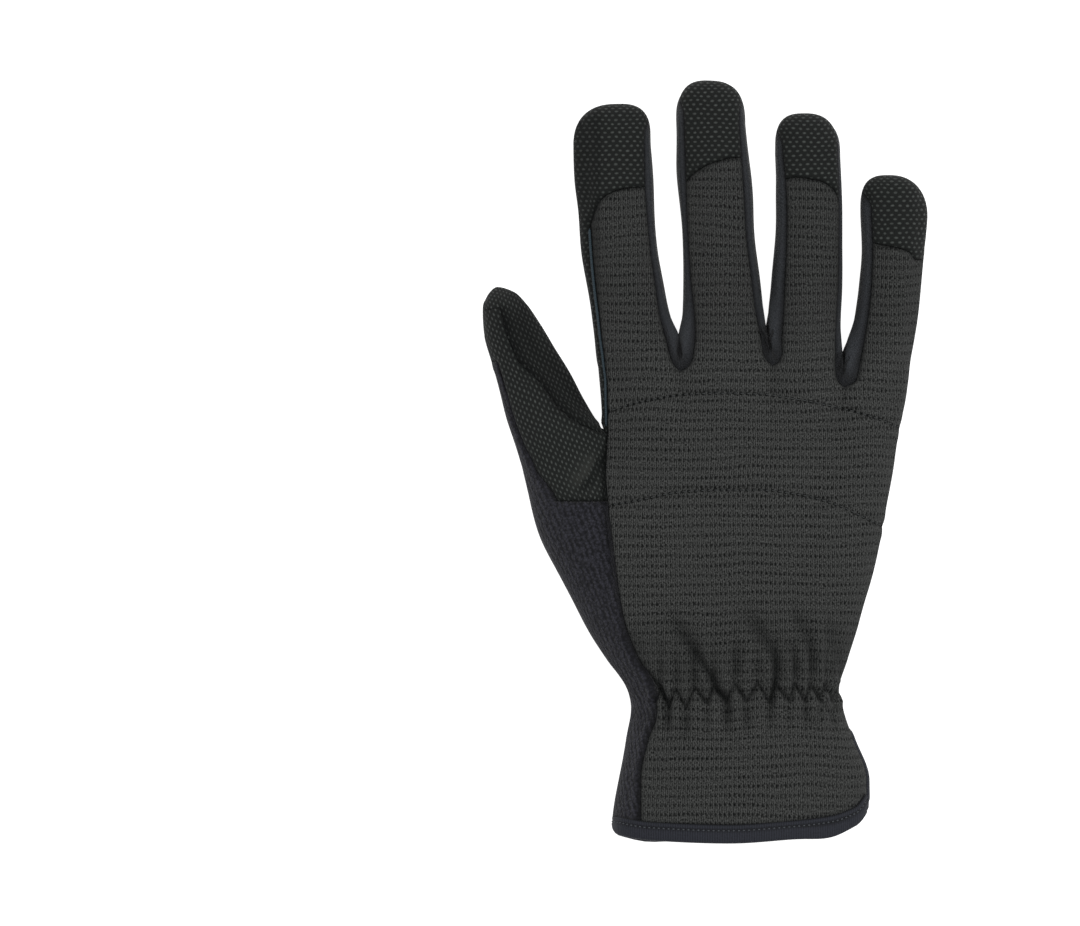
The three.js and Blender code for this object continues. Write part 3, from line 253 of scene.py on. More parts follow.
# %% The cross-section's parts at an angle: 0 is the right side, 90 degrees the top, 180 the left
def across(angle):
    """How far to the side: the cosine to the power of two over the section's power."""
    return signed_power(np.cos(angle), 2 / SECTION_POWER)


def height(angle):
    """How high: the sine to the same power."""
    return np.abs(np.sin(angle)) ** (2 / SECTION_POWER)


def depth(angle):
    """How deep below the widest line: the sine to the power of two over the underside's power."""
    return np.abs(np.sin(angle)) ** (2 / UNDER_POWER)


def angle_at(t):
    """The angle at which the section is t to the side."""
    return np.arccos(signed_power(np.clip(t, -1, 1), SECTION_POWER / 2))


def arch(x, y, left):
    """Height of the back of the hand: one superellipse arch from the left line to the right."""
    right = hand_right(y)
    t = np.clip((2 * x - left - right) / (right - left), -1, 1)
    return lerp(hand_side(y), hand_top(y), (1 - np.abs(t) ** ARCH_POWER) ** (1 / ARCH_POWER))


def floor_height(x, y):
    """How far the underside is off the floor: at the palm's patches and at the hem's tape."""
    palm = ease((54 - y) / 14) * ease((y + 70) / 14) * ease((x + 46) / 11)
    return PALM_LIFT * palm + HEM_LIFT * ease((-100 - y) / 8)


def soft_max(a, b, width=0.6):
    """The larger of two heights, with the corner between them rounded over a width."""
    return (a + b + np.sqrt((a - b) ** 2 + width**2)) / 2


def underside(x, y, left):
    """Height of the underside: a deep superellipse bowl that the floor flattens."""
    right = hand_right(y)
    t = np.clip((2 * x - left - right) / (right - left), -1, 1)
    drop = PALM_SWELL * (1 - np.abs(t) ** PALM_POWER) ** (1 / PALM_POWER)
    return soft_max(floor_height(x, y), hand_side(y) * (1 - drop)) - SINK


# %% [markdown]
# ## The skin
#
# The glove is one hollow skin, cut along its seams. The skin is made of grids of points: one
# for each finger, one for the thumb and two for the hand. Neighbouring grids share their border
# points exactly, so that the cloth has no holes, and every face is labelled with its panel.

# %% Fineness of the grids, and where the panels change along them
SIDE, BACK, PALM = 6, 30, 14
THUMB_BACK, OUTER = 16, 12
ROW_STEP = 0.8
CAP_ROW, STRIP_ROW, GUSSET_ROW = 5.0, 3.0, 1.2
WEB_SHARE, PATCH_SHARE, FRONT_SHARE, SLIT_SHARE = 0.123, 0.276, 0.4, 0.83
THUMB_PATCH_ROW, THUMB_TERRY_ROW = 2.0, 3.0
TIP_END, TIP_ROWS = 0.2, 16
PANELS = (
    "back_panel", "palm_panel", "thumb_front", "thumb_back_patch", "terry_panel",
    "fourchette_index_middle", "fourchette_middle_ring", "fourchette_ring_little",
)
KNIT, DOTTED, THUMB_FRONT, THUMB_PATCH, TERRY, GUSSET = 0, 1, 2, 3, 4, 5

# Columns at the seams of a finger (D on its back, Q on its palm side), of the thumb (T), and of the
# upper (U) and the lower (L) part of the hand
D_LEFT, D_RIGHT = SIDE, SIDE + BACK
Q_RIGHT, Q_LEFT = D_RIGHT + 2 * SIDE, D_RIGHT + 2 * SIDE + PALM
T_STITCHED = SIDE + THUMB_BACK
T_PALM = T_STITCHED + 2 * SIDE
T_TERRY_PALM = T_PALM + THUMB_BACK
U_RIGHT = D_LEFT + 4 * BACK + SIDE
L_RIGHT = T_STITCHED + 4 * BACK + SIDE
L_SEAM = L_RIGHT + SIDE + 4 * PALM
L_TERRY = L_SEAM + THUMB_BACK


def refined(stops, step, fine=(2, 2)):
    """The stops of a line, with even steps of at most the given size between them, or of half
    that size between two values."""
    parts = []
    for a, b in zip(stops, stops[1:]):
        size = step / 2 if fine[0] <= a and b <= fine[1] else step
        parts.append(np.linspace(a, b, max(1, math.ceil((b - a) / size)), endpoint=False))
    return np.concatenate([*parts, stops[-1:]])


WRIST_SHARES, HAND_LONG = (0.62, 0.78), 145
HAND_ROWS = refined([0.0, WEB_SHARE, PATCH_SHARE, FRONT_SHARE, *WRIST_SHARES, SLIT_SHARE, 1.0],
                    ROW_STEP / HAND_LONG, WRIST_SHARES)
WEB_ROW = int(np.argmin(np.abs(HAND_ROWS - WEB_SHARE)))
print("hand rows", len(HAND_ROWS), "web row", WEB_ROW)

# %% The edges where the fingers and the thumb meet the hand
PALM_SEAM_LOW, BACK_SEAM_HIGH = 0.35, 0.8
KNUCKLE_Y, LITTLE_KNUCKLE_Y = 30, 28
INDEX_TOP_AT, LITTLE_TOP_AT = (-28, 27.5), (61, 26)
THUMB_WEB_TOP, THUMB_WEB_SIDE = 19.5, 11.5


def web_line(web, back_height, side_height):
    """The edge at a web: a quarter ellipse from the back seam forward to the crotch, and another
    one down and back to the palm seam."""
    turn = np.abs(np.arange(2 * SIDE + 1) - SIDE) / SIDE * (math.pi / 2)
    above = np.arange(2 * SIDE + 1) < SIDE
    end = np.where(above[:, None], web["back"], web["palm"])
    end_height = np.where(above, back_height, PALM_SEAM_LOW * side_height)
    flat = lerp(np.array(web["crotch"]), end, (1 - np.cos(turn))[:, None])
    return np.column_stack([flat, lerp(side_height, end_height, np.sin(turn))])


def web_height(x, y):
    """Height of the back seam's lowest point, most of the way up the arch of the hand."""
    return lerp(hand_side(y), arch(x, y, INDEX_LEFT), BACK_SEAM_HIGH)


webs = [
    web_line(INDEX_BASE, web_height(*INDEX_TOP_AT), hand_side(KNUCKLE_Y)),
    *(web_line(web, web_height(*web["back"]), hand_side(KNUCKLE_Y)) for web in WEBS),
    web_line(LITTLE_BASE, web_height(*LITTLE_TOP_AT), hand_side(LITTLE_KNUCKLE_Y)),
]
thumb_web = web_line(THUMB_WEB, THUMB_WEB_TOP, THUMB_WEB_SIDE)
print("webs", len(webs), "of", len(thumb_web), "points")

# %% [markdown]
# ## Fingers
#
# A finger is a tube of the cross-section carried from its tip to its base. Each column of its
# grid keeps a fixed place between the seams, and each row is a ring round the finger. The last
# rows bend towards the webs, where the rings of neighbouring fingers meet.

# %% One finger as a grid of rings
def finger_columns(cap_line, left_line, right_line):
    """Each column of a ring: its angle as a + b * back seam + c * palm seam, its cap and its base."""
    cap_left, cap_right = cap_line[0, 1], cap_line[-1, 1]
    ends = (left_line, right_line)
    back_y, side_y, palm_y = ([line[k, 1] for line in ends] for k in (0, SIDE, 2 * SIDE))
    up = np.arange(SIDE) / SIDE
    down = 1 - np.arange(1, SIDE + 1) / SIDE
    part = np.arange(BACK + 1) / BACK
    under = np.arange(1, PALM + 1) / PALM
    forward = lambda t: np.cos(t * math.pi / 2)
    cap = curve(*cap_line.T)(part)
    cap_under = lerp(cap_right, cap_left, under)
    blocks = [
        (math.pi, -up, 0, cap_left, lerp(back_y[0], side_y[0], forward(up))),
        (math.pi * (1 - part), 2 * part - 1, 0, cap, lerp(back_y[0], back_y[1], part)),
        (0, down, 0, cap_right, lerp(back_y[1], side_y[1], forward(down))),
        (0, 0, down - 1, cap_right, lerp(palm_y[1], side_y[1], forward(1 - down))),
        (-math.pi * under, 0, 2 * under - 1, cap_under, lerp(palm_y[1], palm_y[0], under)),
        (-math.pi, 0, down[:-1], cap_left, lerp(palm_y[0], side_y[0], forward(down[:-1]))),
    ]
    return [np.concatenate(parts) for parts in zip(*(np.broadcast_arrays(*block) for block in blocks))]


def finger_rows(shoulder, cap_middle):
    """Row numbers from tip to base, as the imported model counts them, with their place in the tip.
    In the tip the rows follow the superellipse evenly; further down they lie evenly along y."""
    start = math.asin(TIP_END ** (TIP_POWER / 2))
    turn = np.linspace(math.pi / 2, start, TIP_ROWS)
    share = np.sin(turn) ** (2 / TIP_POWER)
    row = STRIP_ROW * (1 - (share - TIP_END) / (1 - TIP_END))
    to_cap = max(4, math.ceil((shoulder + 3 - cap_middle) / ROW_STEP))
    to_base = math.ceil((cap_middle - 32) / ROW_STEP)
    row = np.concatenate([row, STRIP_ROW + 2 * np.arange(1, to_cap + 1) / to_cap,
                          CAP_ROW + np.arange(1, to_base + 1) / to_base])
    return row, np.concatenate([share, np.full(to_cap + to_base, TIP_END)])


def finger_ring_points(finger, row, share, columns):
    """Points of all rings: across and height of the superellipse section, sized down in the tip."""
    a, b, c, cap, base = columns
    table = dict(zip(FINGER_KEYS, np.array(finger["rows"]).T))
    left, right, back_left, back_right = (curve(table["y"], table[key]) for key in FINGER_KEYS[1:])
    tip_x, tip_y = finger["tip"]
    shoulder = finger["shoulder"]
    row, share = row[:, None], share[:, None]
    blend = ease((row - GUSSET_ROW) / (STRIP_ROW - GUSSET_ROW))
    seam = np.radians(lerp(GUSSET_ANGLE, BACK_SEAM_ANGLE, blend))
    palm_seam = np.radians(lerp(GUSSET_ANGLE, PALM_SEAM_ANGLE, blend))
    angle = a + b * seam + c * palm_seam

    in_tip = shoulder + share * (tip_y - shoulder)
    to_cap = lerp(in_tip, cap, np.clip((row - STRIP_ROW) / (CAP_ROW - STRIP_ROW), 0, 1))
    y = np.where(row <= CAP_ROW, to_cap, lerp(cap, base, np.clip(row - CAP_ROW, 0, 1)))

    s = np.clip((y - shoulder) / (tip_y - shoulder), 0, 1)
    size = (1 - s**TIP_POWER) ** (1 / TIP_POWER)
    middle = lerp((left(y) + right(y)) / 2, tip_x, s**2)
    half = (right(y) - left(y)) / 2 * size
    rise = ease((max(base[SIDE], base[SIDE + BACK]) + BASE_BLEND - y) / BASE_BLEND)
    top = lerp(FINGER_TOP, arch(middle, y, INDEX_LEFT), rise)
    side = lerp(FINGER_SIDE, hand_side(y), rise)

    # On the back, the seams follow their own lines, and the cloth between them is spread evenly
    limit = across(seam)
    part = across(angle) / limit
    edge = EDGE_SHARE * half
    seam_left = lerp(middle - half * limit, np.maximum(back_left(y), middle - edge), blend)
    seam_right = lerp(middle + half * limit, np.minimum(back_right(y), middle + edge), blend)
    between = lerp(seam_left, seam_right, (part + 1) / 2)
    outside = (np.abs(across(angle)) - limit) / (1 - limit)
    beyond = lerp(np.where(part < 0, seam_left, seam_right), middle + np.sign(part) * half, outside)
    x_back = np.where(np.abs(part) <= 1, between, beyond)
    x = np.where(angle >= 0, x_back, middle + half * across(angle))

    widest = lerp(TIP_POLE, side, size)
    bowl = widest - side * UNDER_SWELL * size * depth(angle)
    low = soft_max(floor_height(x, y), bowl, 0.4 * size + 1e-6) - 0.1 * size
    z = np.where(angle >= 0, widest + (top - side) * size * height(angle), low)
    return np.stack([x, y, z], axis=-1)


def finger_base(left_line, right_line):
    """The last ring: the two web lines, joined over the back by an arch and below by the palm."""
    part = np.arange(1, BACK) / BACK
    seam = math.radians(BACK_SEAM_ANGLE)
    angle = lerp(math.pi - seam, seam, part)
    edge = height(seam)
    x = lerp(left_line[0, 0], right_line[0, 0], (across(angle) / across(seam) + 1) / 2)
    y = lerp(left_line[0, 1], right_line[0, 1], part)
    swell = (height(angle) - edge) / (1 - edge)
    z = lerp(lerp(left_line[0, 2], right_line[0, 2], part), arch(x, y, INDEX_LEFT), swell)
    over = np.column_stack([x, y, z])
    part = np.arange(1, PALM)[:, None] / PALM
    flat = lerp(right_line[-1, :2], left_line[-1, :2], part)
    ends = lerp(right_line[-1, 2], left_line[-1, 2], part[:, 0])
    level = underside(*flat.T, INDEX_LEFT)
    below = np.column_stack([flat, lerp(level, ends, np.abs(2 * part[:, 0] - 1) ** 6)])
    return np.concatenate([left_line[SIDE:0:-1], left_line[:1], over, right_line, below, left_line[:SIDE:-1]])


def finger_grid(number):
    """The rings of a finger, of which the last ones move over to meet the webs."""
    finger, left_line, right_line = FINGERS[number], webs[number], webs[number + 1]
    row, share = finger_rows(finger["shoulder"], CAP_MIDDLES[number])
    columns = finger_columns(CAPS[number], left_line, right_line)
    grid = finger_ring_points(finger, row, share, columns)
    base = finger_base(left_line, right_line)
    near = ease((row - CAP_ROW - 0.7) / 0.3)[:, None, None]
    grid = grid + near * (base - grid[-1])
    grid[-1] = base
    return grid, row


def finger_panel(number, row, column):
    """Which panel a face of the finger belongs to, from its row number and its column."""
    on_back = (column >= D_LEFT) & (column < D_RIGHT)
    on_right = (column >= D_RIGHT) & (column < Q_RIGHT)
    on_left = (column < D_LEFT) | (column >= Q_LEFT)
    panel = np.full(np.broadcast(row, column).shape, DOTTED)
    panel[on_back & (row > CAP_ROW)] = KNIT
    if number > 0:
        panel[on_left & (row > GUSSET_ROW)] = GUSSET + number - 1
    if number < 3:
        panel[on_right & (row > GUSSET_ROW)] = GUSSET + number
    else:
        panel[on_right & (column < D_RIGHT + SIDE) & (row > CAP_ROW)] = KNIT
    return panel


# %% [markdown]
# ## Thumb
#
# The thumb lies at a slant, so its sections run from its outer side to the side of the hand. The
# last section is the thumb's web.

# %% The thumb as a grid of slanted rings
THUMB_ROW_STEP, THUMB_TIP_ROW = 0.085, 3
FRONT_FADES, WEB_BEGINS = 5.4, 6.4
THUMB_ROWS = refined(np.arange(float(len(THUMB))), THUMB_ROW_STEP)


def thumb_grid():
    """Rings of the section between the two ends of each slanted line, sized down in the tip."""
    index = np.arange(len(THUMB))
    rows = THUMB_ROWS[:, None]
    at = {key: curve(index, column, flat_start=key in ("ly", "ry"))(rows)
          for key, column in zip(THUMB_KEYS, THUMB.T)}
    last = len(THUMB) - 1
    size = np.sin(np.minimum(rows / THUMB_TIP_ROW, 1) * math.pi / 2)
    grown = ease((rows - 4) / (last - 4))
    top = lerp(THUMB_TOP, THUMB_BASE_TOP, grown)
    side = lerp(FINGER_SIDE, THUMB_BASE_SIDE, grown)
    stitched, terry_back, terry_palm = (angle_at(at[key]) for key in THUMB_KEYS[4:])
    palm_seam = math.radians(PALM_SEAM_ANGLE)
    run = lambda first, last, steps: lerp(first, last, np.arange(steps) / steps)
    angle = np.hstack([
        run(math.pi, terry_back, SIDE), run(terry_back, stitched, THUMB_BACK), run(stitched, 0, SIDE),
        run(0 * stitched, -palm_seam, SIDE), run(-palm_seam, -terry_palm, THUMB_BACK),
        run(-terry_palm, -math.pi, OUTER),
    ])
    part = (1 + across(angle)) / 2
    x, y = lerp(at["lx"], at["rx"], part), lerp(at["ly"], at["ry"], part)
    widest = lerp(TIP_POLE, side, size)
    low = soft_max(0.0, widest - side * UNDER_SWELL * size * depth(angle), 0.4)
    z = np.where(angle >= 0, widest + (top - side) * size * height(angle), low)
    # Past the stitched seam the front falls away steeply
    front = np.clip((np.arange(z.shape[1]) - SIDE - THUMB_BACK) / SIDE, 0, 1)
    fading = 1 - ease((rows - FRONT_FADES) / (last - FRONT_FADES))
    z -= THUMB_FRONT_DROP * np.sin(math.pi * front**0.8) * size * fading
    grid = np.stack([x, y, z], axis=-1)
    web_columns = slice(T_STITCHED, T_PALM + 1)
    gap = thumb_web - grid[-1, web_columns]
    near = ease((rows - WEB_BEGINS) / (last - WEB_BEGINS))[..., None]
    grid[:, web_columns] += near * gap
    fade = np.linspace(1, 0, THUMB_BACK + 1)[None, 1:-1, None]
    grid[:, SIDE + 1:T_STITCHED] += near * fade[:, ::-1] * gap[:1]
    grid[:, T_PALM + 1:T_TERRY_PALM] += near * fade * gap[-1:]
    grid[-1, web_columns] = thumb_web
    return grid


def thumb_panel(row, column):
    """Which panel a face of the thumb belongs to."""
    panel = np.full(np.broadcast(row, column).shape, THUMB_FRONT)
    panel[(column >= T_TERRY_PALM) & (row > THUMB_TERRY_ROW)] = TERRY
    on_back = (column < T_STITCHED) & (row > THUMB_PATCH_ROW)
    panel[on_back] = THUMB_PATCH
    panel[on_back & (column < SIDE) & (row > THUMB_TERRY_ROW + 1)] = TERRY
    return panel


# %% [markdown]
# ## Hand and cuff
#
# The hand's columns start at the bases of the fingers and run down to the hem. A column lies
# between two lines, and its share of the width between them eases to an even one, so that the
# cloth is never bunched by the mesh itself.

# %% The columns of the hand
def hand_columns(start, first, shares, lines, left, fade, under=False,
                 sag=0.0, sag_at=WEB_SHARE, bulge=0.0):
    """Columns from start points to the hem: y falls evenly, x keeps a share between two lines, and
    z is the arch or the underside, plus what the start differs from it, fading on the way. At
    sag_at of the way, the row is lower by sag and the share larger by bulge."""
    x0, y0, z0 = np.atleast_2d(start).T
    shares = np.atleast_1d(shares)
    shape = underside if under else arch
    s = ((HAND_ROWS[first:] - HAND_ROWS[first]) / (1 - HAND_ROWS[first]))[:, None]
    from_line, to_line = lines
    hem_x = lerp(from_line(HEM_Y), to_line(HEM_Y), shares)
    hem_y = (hem_palm if under else hem_back)(hem_x)
    tent = np.minimum(s / sag_at, (1 - s) / (1 - sag_at))
    y = lerp(y0, hem_y, s) - sag * tent
    start_share = (x0 - from_line(y0)) / (to_line(y0) - from_line(y0))
    x = lerp(from_line(y), to_line(y), lerp(start_share, shares, ease(s / 0.7)) + bulge * ease(tent))
    left_over = z0 - shape(x0, y0, left(y0))
    z = shape(x, y, left(y)) + left_over * (1 - ease((y0 - y) / fade))
    grid = np.stack([x, y, z], axis=-1)
    grid[0] = start
    return grid


def link_columns(start, end):
    """Straight columns from the side of the index finger to the thumb's web."""
    return lerp(start, end, (np.arange(WEB_ROW + 1) / WEB_ROW)[:, None, None])


def back_left(y):
    """The back's left line: the index finger's side, easing to the side of the thumb."""
    return lerp(INDEX_LEFT, hand_left(y), ease((9.5 - y) / 60))


def steps(count, stops):
    """Shares at every column of a strip, spread between its stops."""
    return np.interp(np.arange(count + 1) / count * (len(stops) - 1), np.arange(len(stops)), stops)


# %% All grids of the fingers and the thumb, and the hand down to the thumb's web
fingers = [finger_grid(number) for number in range(4)]
print("finger grids", [grid.shape for grid, _ in fingers])
thumb = thumb_grid()
bases = [grid[-1] for grid, _ in fingers]
back_lines, palm_lines = (back_edge, hand_right), (thumb_seam, hand_right)
start_back = np.concatenate([base[D_LEFT + 1:D_RIGHT + 1] for base in bases])
start_right = bases[3][D_RIGHT + 1:Q_RIGHT]
start_palm = np.concatenate([bases[3][Q_RIGHT:Q_RIGHT + 1],
                             *[base[Q_RIGHT + 1:Q_LEFT + 1] for base in bases[::-1]]])
SIDE_STOPS = (0.955, 0.985, 1.0)
right_shares = steps(SIDE, SIDE_STOPS)
on_top = {"lines": back_lines, "left": back_left, "fade": VALLEY_FADE}
below = {"lines": palm_lines, "left": back_left, "fade": VALLEY_FADE, "under": True}
back_part = np.arange(1, 4 * BACK + 1) / (4 * BACK)
back_columns = hand_columns(start_back, 0, SIDE_STOPS[0] * back_part, **on_top)
right_columns = np.concatenate([
    hand_columns(start_right[:SIDE], 0, right_shares[1:], **on_top),
    hand_columns(start_right[SIDE:], 0, right_shares[-2:0:-1], **below),
], axis=1)
palm_part = np.arange(4 * PALM) / (4 * PALM)
palm_columns = hand_columns(start_palm[:-1], 0, SIDE_STOPS[0] * (1 - palm_part),
                            sag=THUMB_WEB_SAG * np.clip(2 * palm_part - 1, 0, 1), **below)
edge_below = hand_columns(thumb_web[:1], WEB_ROW, 0.0, back_lines, back_left, THUMB_FADE)
seam_below = hand_columns(thumb_web[-1:], WEB_ROW, 0.0, palm_lines, hand_left, VALLEY_FADE, under=True)
upper = np.concatenate([
    link_columns(bases[0][:D_LEFT + 1], thumb_web[SIDE::-1]),
    back_columns[:WEB_ROW + 1], right_columns[:WEB_ROW + 1], palm_columns[:WEB_ROW + 1],
    link_columns(start_palm[-1:], thumb_web[-1:]),
    link_columns(bases[0][Q_LEFT + 1:], thumb_web[-2:SIDE:-1]),
], axis=1)

# %% The hand from the thumb's web to the hem
thumb_lines = {"left": hand_left, "fade": THUMB_FADE}
outer_shares = np.r_[steps(SIDE, (0, 0.06, 0.15))[:-1],
                     steps(THUMB_BACK, (0.15, 0.36, 0.58, 0.79, 1))[:-1]]
PATCH_FOOT_Y, PATCH_BULGE = -12.4, 0.2
patch_at = (PATCH_SHARE - WEB_SHARE) / (1 - WEB_SHARE)
patch_start = thumb[-1][:T_STITCHED]
patch_hem = hem_back(lerp(hand_left(HEM_Y), back_edge(HEM_Y), outer_shares))
patch_sag = lerp(patch_start[:, 1], patch_hem, patch_at) - PATCH_FOOT_Y
patch_sag[:SIDE] = patch_sag[SIDE] * np.arange(SIDE) / SIDE
patch_bulge = PATCH_BULGE * np.r_[np.arange(SIDE) / SIDE, 1 - np.arange(THUMB_BACK) / THUMB_BACK]
lower = np.concatenate([
    hand_columns(patch_start, WEB_ROW, outer_shares, (hand_left, back_edge), sag=patch_sag,
                 sag_at=patch_at, bulge=patch_bulge, **thumb_lines),
    edge_below, back_columns[WEB_ROW:], right_columns[WEB_ROW:], palm_columns[WEB_ROW:], seam_below,
    hand_columns(thumb[-1][T_PALM + 1:T_TERRY_PALM], WEB_ROW, steps(THUMB_BACK, (1, 0))[1:-1],
                 (terry_edge, thumb_seam), under=True, **thumb_lines),
    hand_columns(thumb[-1][T_TERRY_PALM:], WEB_ROW, steps(OUTER, (1, 0.45, 0.15, 0.04, 0))[:-1],
                 (hand_left, terry_edge), under=True, **thumb_lines),
], axis=1)
print("thumb", thumb.shape, "hand", upper.shape, lower.shape)


def upper_panel(row, column):
    """Panels between the index finger and the thumb's web."""
    return np.where((column >= D_LEFT) & (column < U_RIGHT), KNIT, DOTTED)


def lower_panel(row, column):
    """Panels from the thumb's web to the hem, by the share of the way down."""
    share = (HAND_ROWS[WEB_ROW:-1] + HAND_ROWS[WEB_ROW + 1:])[:, None] / 2 + 0 * column
    panel = np.full(share.shape, TERRY)
    panel[(column >= SIDE) & (column < T_STITCHED) & (share < PATCH_SHARE)] = THUMB_PATCH
    panel[(column >= T_STITCHED) & (column < L_RIGHT)] = KNIT
    panel[(column >= L_RIGHT) & (column < L_SEAM)] = DOTTED
    on_front = (column >= L_SEAM) & (column < L_TERRY)
    panel[on_front & (share < FRONT_SHARE)] = THUMB_FRONT
    panel[on_front & (share > FRONT_SHARE)] = DOTTED
    return panel


# %% Open the slit at the little finger's side of the cuff
SLIT_ROW = int(np.argmin(np.abs(HAND_ROWS - SLIT_SHARE))) - WEB_ROW
SLIT_EASE = 14.0


def opened(side):
    """Columns from the slit outwards, slid along the cloth: the edge stands off the slit's middle by
    a quarter circle that becomes straight, and the slide dies out over SLIT_EASE."""
    down = lengths(side[:, 0])
    down = np.clip(down - down[SLIT_ROW], 0, SLIT_HALF_WIDTH)
    half = np.sqrt(SLIT_HALF_WIDTH**2 - (SLIT_HALF_WIDTH - down) ** 2)
    result = side.copy()
    for row in np.flatnonzero(half > 0):
        run = lengths(side[row])
        wanted = run + half[row] * np.clip(1 - run / SLIT_EASE, 0, 1)
        result[row] = columns_at(wanted, run, side[row])
    return result


lower_back = opened(lower[:, L_RIGHT::-1])[:, ::-1]
lower_palm = opened(np.concatenate([lower[:, L_RIGHT:], lower[:, :1]], axis=1))
print("slit from row", SLIT_ROW, "of", len(lower))

# %% [markdown]
# ## Sewing the grids together
#
# Points that lie in the same place become one point. After that the skin is one closed surface,
# which is open at the hem alone, and its point normals are the same on both sides of a seam.

# %% A pattern coordinate for every corner of a face
def ring_length(grid, middle):
    """Length along every ring from one of its columns, negative on one side of it."""
    step = np.linalg.norm(np.diff(grid, axis=1), axis=2)
    run = np.concatenate([np.zeros((len(grid), 1)), np.cumsum(step, axis=1)], axis=1)
    return run - run[:, middle:middle + 1]


def pattern_on_rings(grid, middle, axis=(0.0, 1.0), sign=1, foot=None):
    """Pattern coordinates of rings: across, the place of a middle column plus the length round the
    ring from it; along, the place along an axis, plus what the cloth gains by bending down above
    the row foot."""
    axis = np.array(axis)
    spine = grid[:, middle]
    along = grid[..., :2] @ axis
    if foot is not None:
        level = np.abs(np.diff(spine[:, :2] @ axis))
        gain = np.cumsum(np.r_[0, np.linalg.norm(np.diff(spine, axis=0), axis=1) - level])
        along = along + np.clip(gain[foot] - gain, 0, None)[:, None]
    across_ring = spine[:, None, :2] @ (axis[1], -axis[0]) + sign * ring_length(grid, middle)
    return np.stack([across_ring, along], axis=-1)


def faces_of(grid, panel_of, patterns, pick, closed=True, row_numbers=None):
    """Four-sided faces between the rings, with each corner's pattern coordinates and a panel. Where
    pick says so, for columns and panels, the first of the patterns holds, and elsewhere the last."""
    rows, columns = grid.shape[:2]
    row, column = np.meshgrid(np.arange(rows - 1), np.arange(columns - (not closed)), indexing="ij")
    after = (column + 1) % columns
    corners = [(row, column), (row + 1, column), (row + 1, after), (row, after)]
    at = np.stack([grid[r, c] for r, c in corners], axis=2).reshape(-1, 4, 3)
    maps = [np.stack([p[r, c] for r, c in corners], axis=2).reshape(-1, 4, 2) for p in patterns]
    number = row
    if row_numbers is not None:
        number = ((row_numbers[:-1] + row_numbers[1:]) / 2)[:, None] + 0 * row
    panel = panel_of(number, column)
    chosen = pick(column, panel).reshape(-1)[:, None, None]
    return at, np.where(chosen, maps[0], maps[-1]), panel.reshape(-1)


# %% Faces of every grid
above_finger = lambda column, panel: column < D_RIGHT + SIDE
above_thumb = lambda column, panel: column < T_STITCHED + SIDE
above_hand = lambda column, panel: column < U_RIGHT
of_hand = lambda column, panel: (panel == KNIT) | (panel == DOTTED)
parts = []
for number, (grid, row_numbers) in enumerate(fingers):
    foot = int(np.searchsorted(row_numbers, CAP_ROW))
    maps = [pattern_on_rings(grid, D_LEFT + BACK // 2, foot=foot),
            pattern_on_rings(grid, Q_RIGHT + PALM // 2, sign=-1, foot=foot)]
    panel_of = lambda row, column: finger_panel(number, row, column)
    parts.append(faces_of(grid, panel_of, maps, above_finger, row_numbers=row_numbers))
THUMB_AXIS = np.array([-0.36, 0.933])
thumb_foot = int(np.searchsorted(THUMB_ROWS, THUMB_TIP_ROW))
maps = [pattern_on_rings(thumb, T_STITCHED // 2 + SIDE, THUMB_AXIS, foot=thumb_foot),
        pattern_on_rings(thumb, T_PALM + THUMB_BACK // 2, THUMB_AXIS, sign=-1, foot=thumb_foot)]
parts.append(faces_of(thumb, thumb_panel, maps, above_thumb, row_numbers=THUMB_ROWS))
MID_BACK = 2 * BACK
maps = [pattern_on_rings(upper, D_LEFT + MID_BACK),
        pattern_on_rings(upper, U_RIGHT + SIDE + 2 * PALM, sign=-1)]
parts.append(faces_of(upper, upper_panel, maps, above_hand))
maps = [pattern_on_rings(lower_back, T_STITCHED + MID_BACK),
        pattern_on_rings(lower_back, T_STITCHED // 2 + SIDE, THUMB_AXIS)]
parts.append(faces_of(lower_back, lower_panel, maps, of_hand, closed=False))
maps = [pattern_on_rings(lower_palm, SIDE + 2 * PALM, sign=-1),
        pattern_on_rings(lower_palm, L_SEAM - L_RIGHT + THUMB_BACK // 2, THUMB_AXIS, sign=-1)]
panel_of = lambda row, column: lower_panel(row, column + L_RIGHT)
parts.append(faces_of(lower_palm, panel_of, maps, of_hand, closed=False))
at, pattern, panel_of_face = (np.concatenate(part) for part in zip(*parts))
# The thumb's cloth is cut crosswise: its dots stand along the thumb and closer together
CROSSWISE = (1.06, 1.32)
crosswise = np.isin(panel_of_face, (THUMB_FRONT, THUMB_PATCH))
pattern[crosswise] = pattern[crosswise][..., ::-1] * CROSSWISE
print("faces", len(at))

# %% Weld the points that lie in the same place
corners = at.reshape(-1, 3)
_, first_at, corner_ids = np.unique(np.round(corners, 3), axis=0, return_index=True, return_inverse=True)
skin_points = corners[first_at]
skin_faces = corner_ids.reshape(-1, 4)
print("skin", len(skin_points), "points", len(skin_faces), "faces")


def point_normals(points, faces):
    """Outward direction at every point: the sum of the directions of the triangles round it."""
    total = np.zeros_like(points)
    for tri in ((0, 1, 2), (0, 2, 3)):
        a, b, c = (points[faces[:, k]] for k in tri)
        direction = np.cross(b - a, c - a)
        for k in tri:
            np.add.at(total, faces[:, k], direction)
    return total / np.maximum(np.linalg.norm(total, axis=1, keepdims=True), 1e-12)


normals = point_normals(skin_points, skin_faces)

# %% [markdown]
# ## Seams
#
# Where two panels are sewn together, the cloth is pulled in along the seam and stands up a little
# beside it. The skin's relief is this groove with its two low ridges, and a few more lines that
# are sewn through the back.

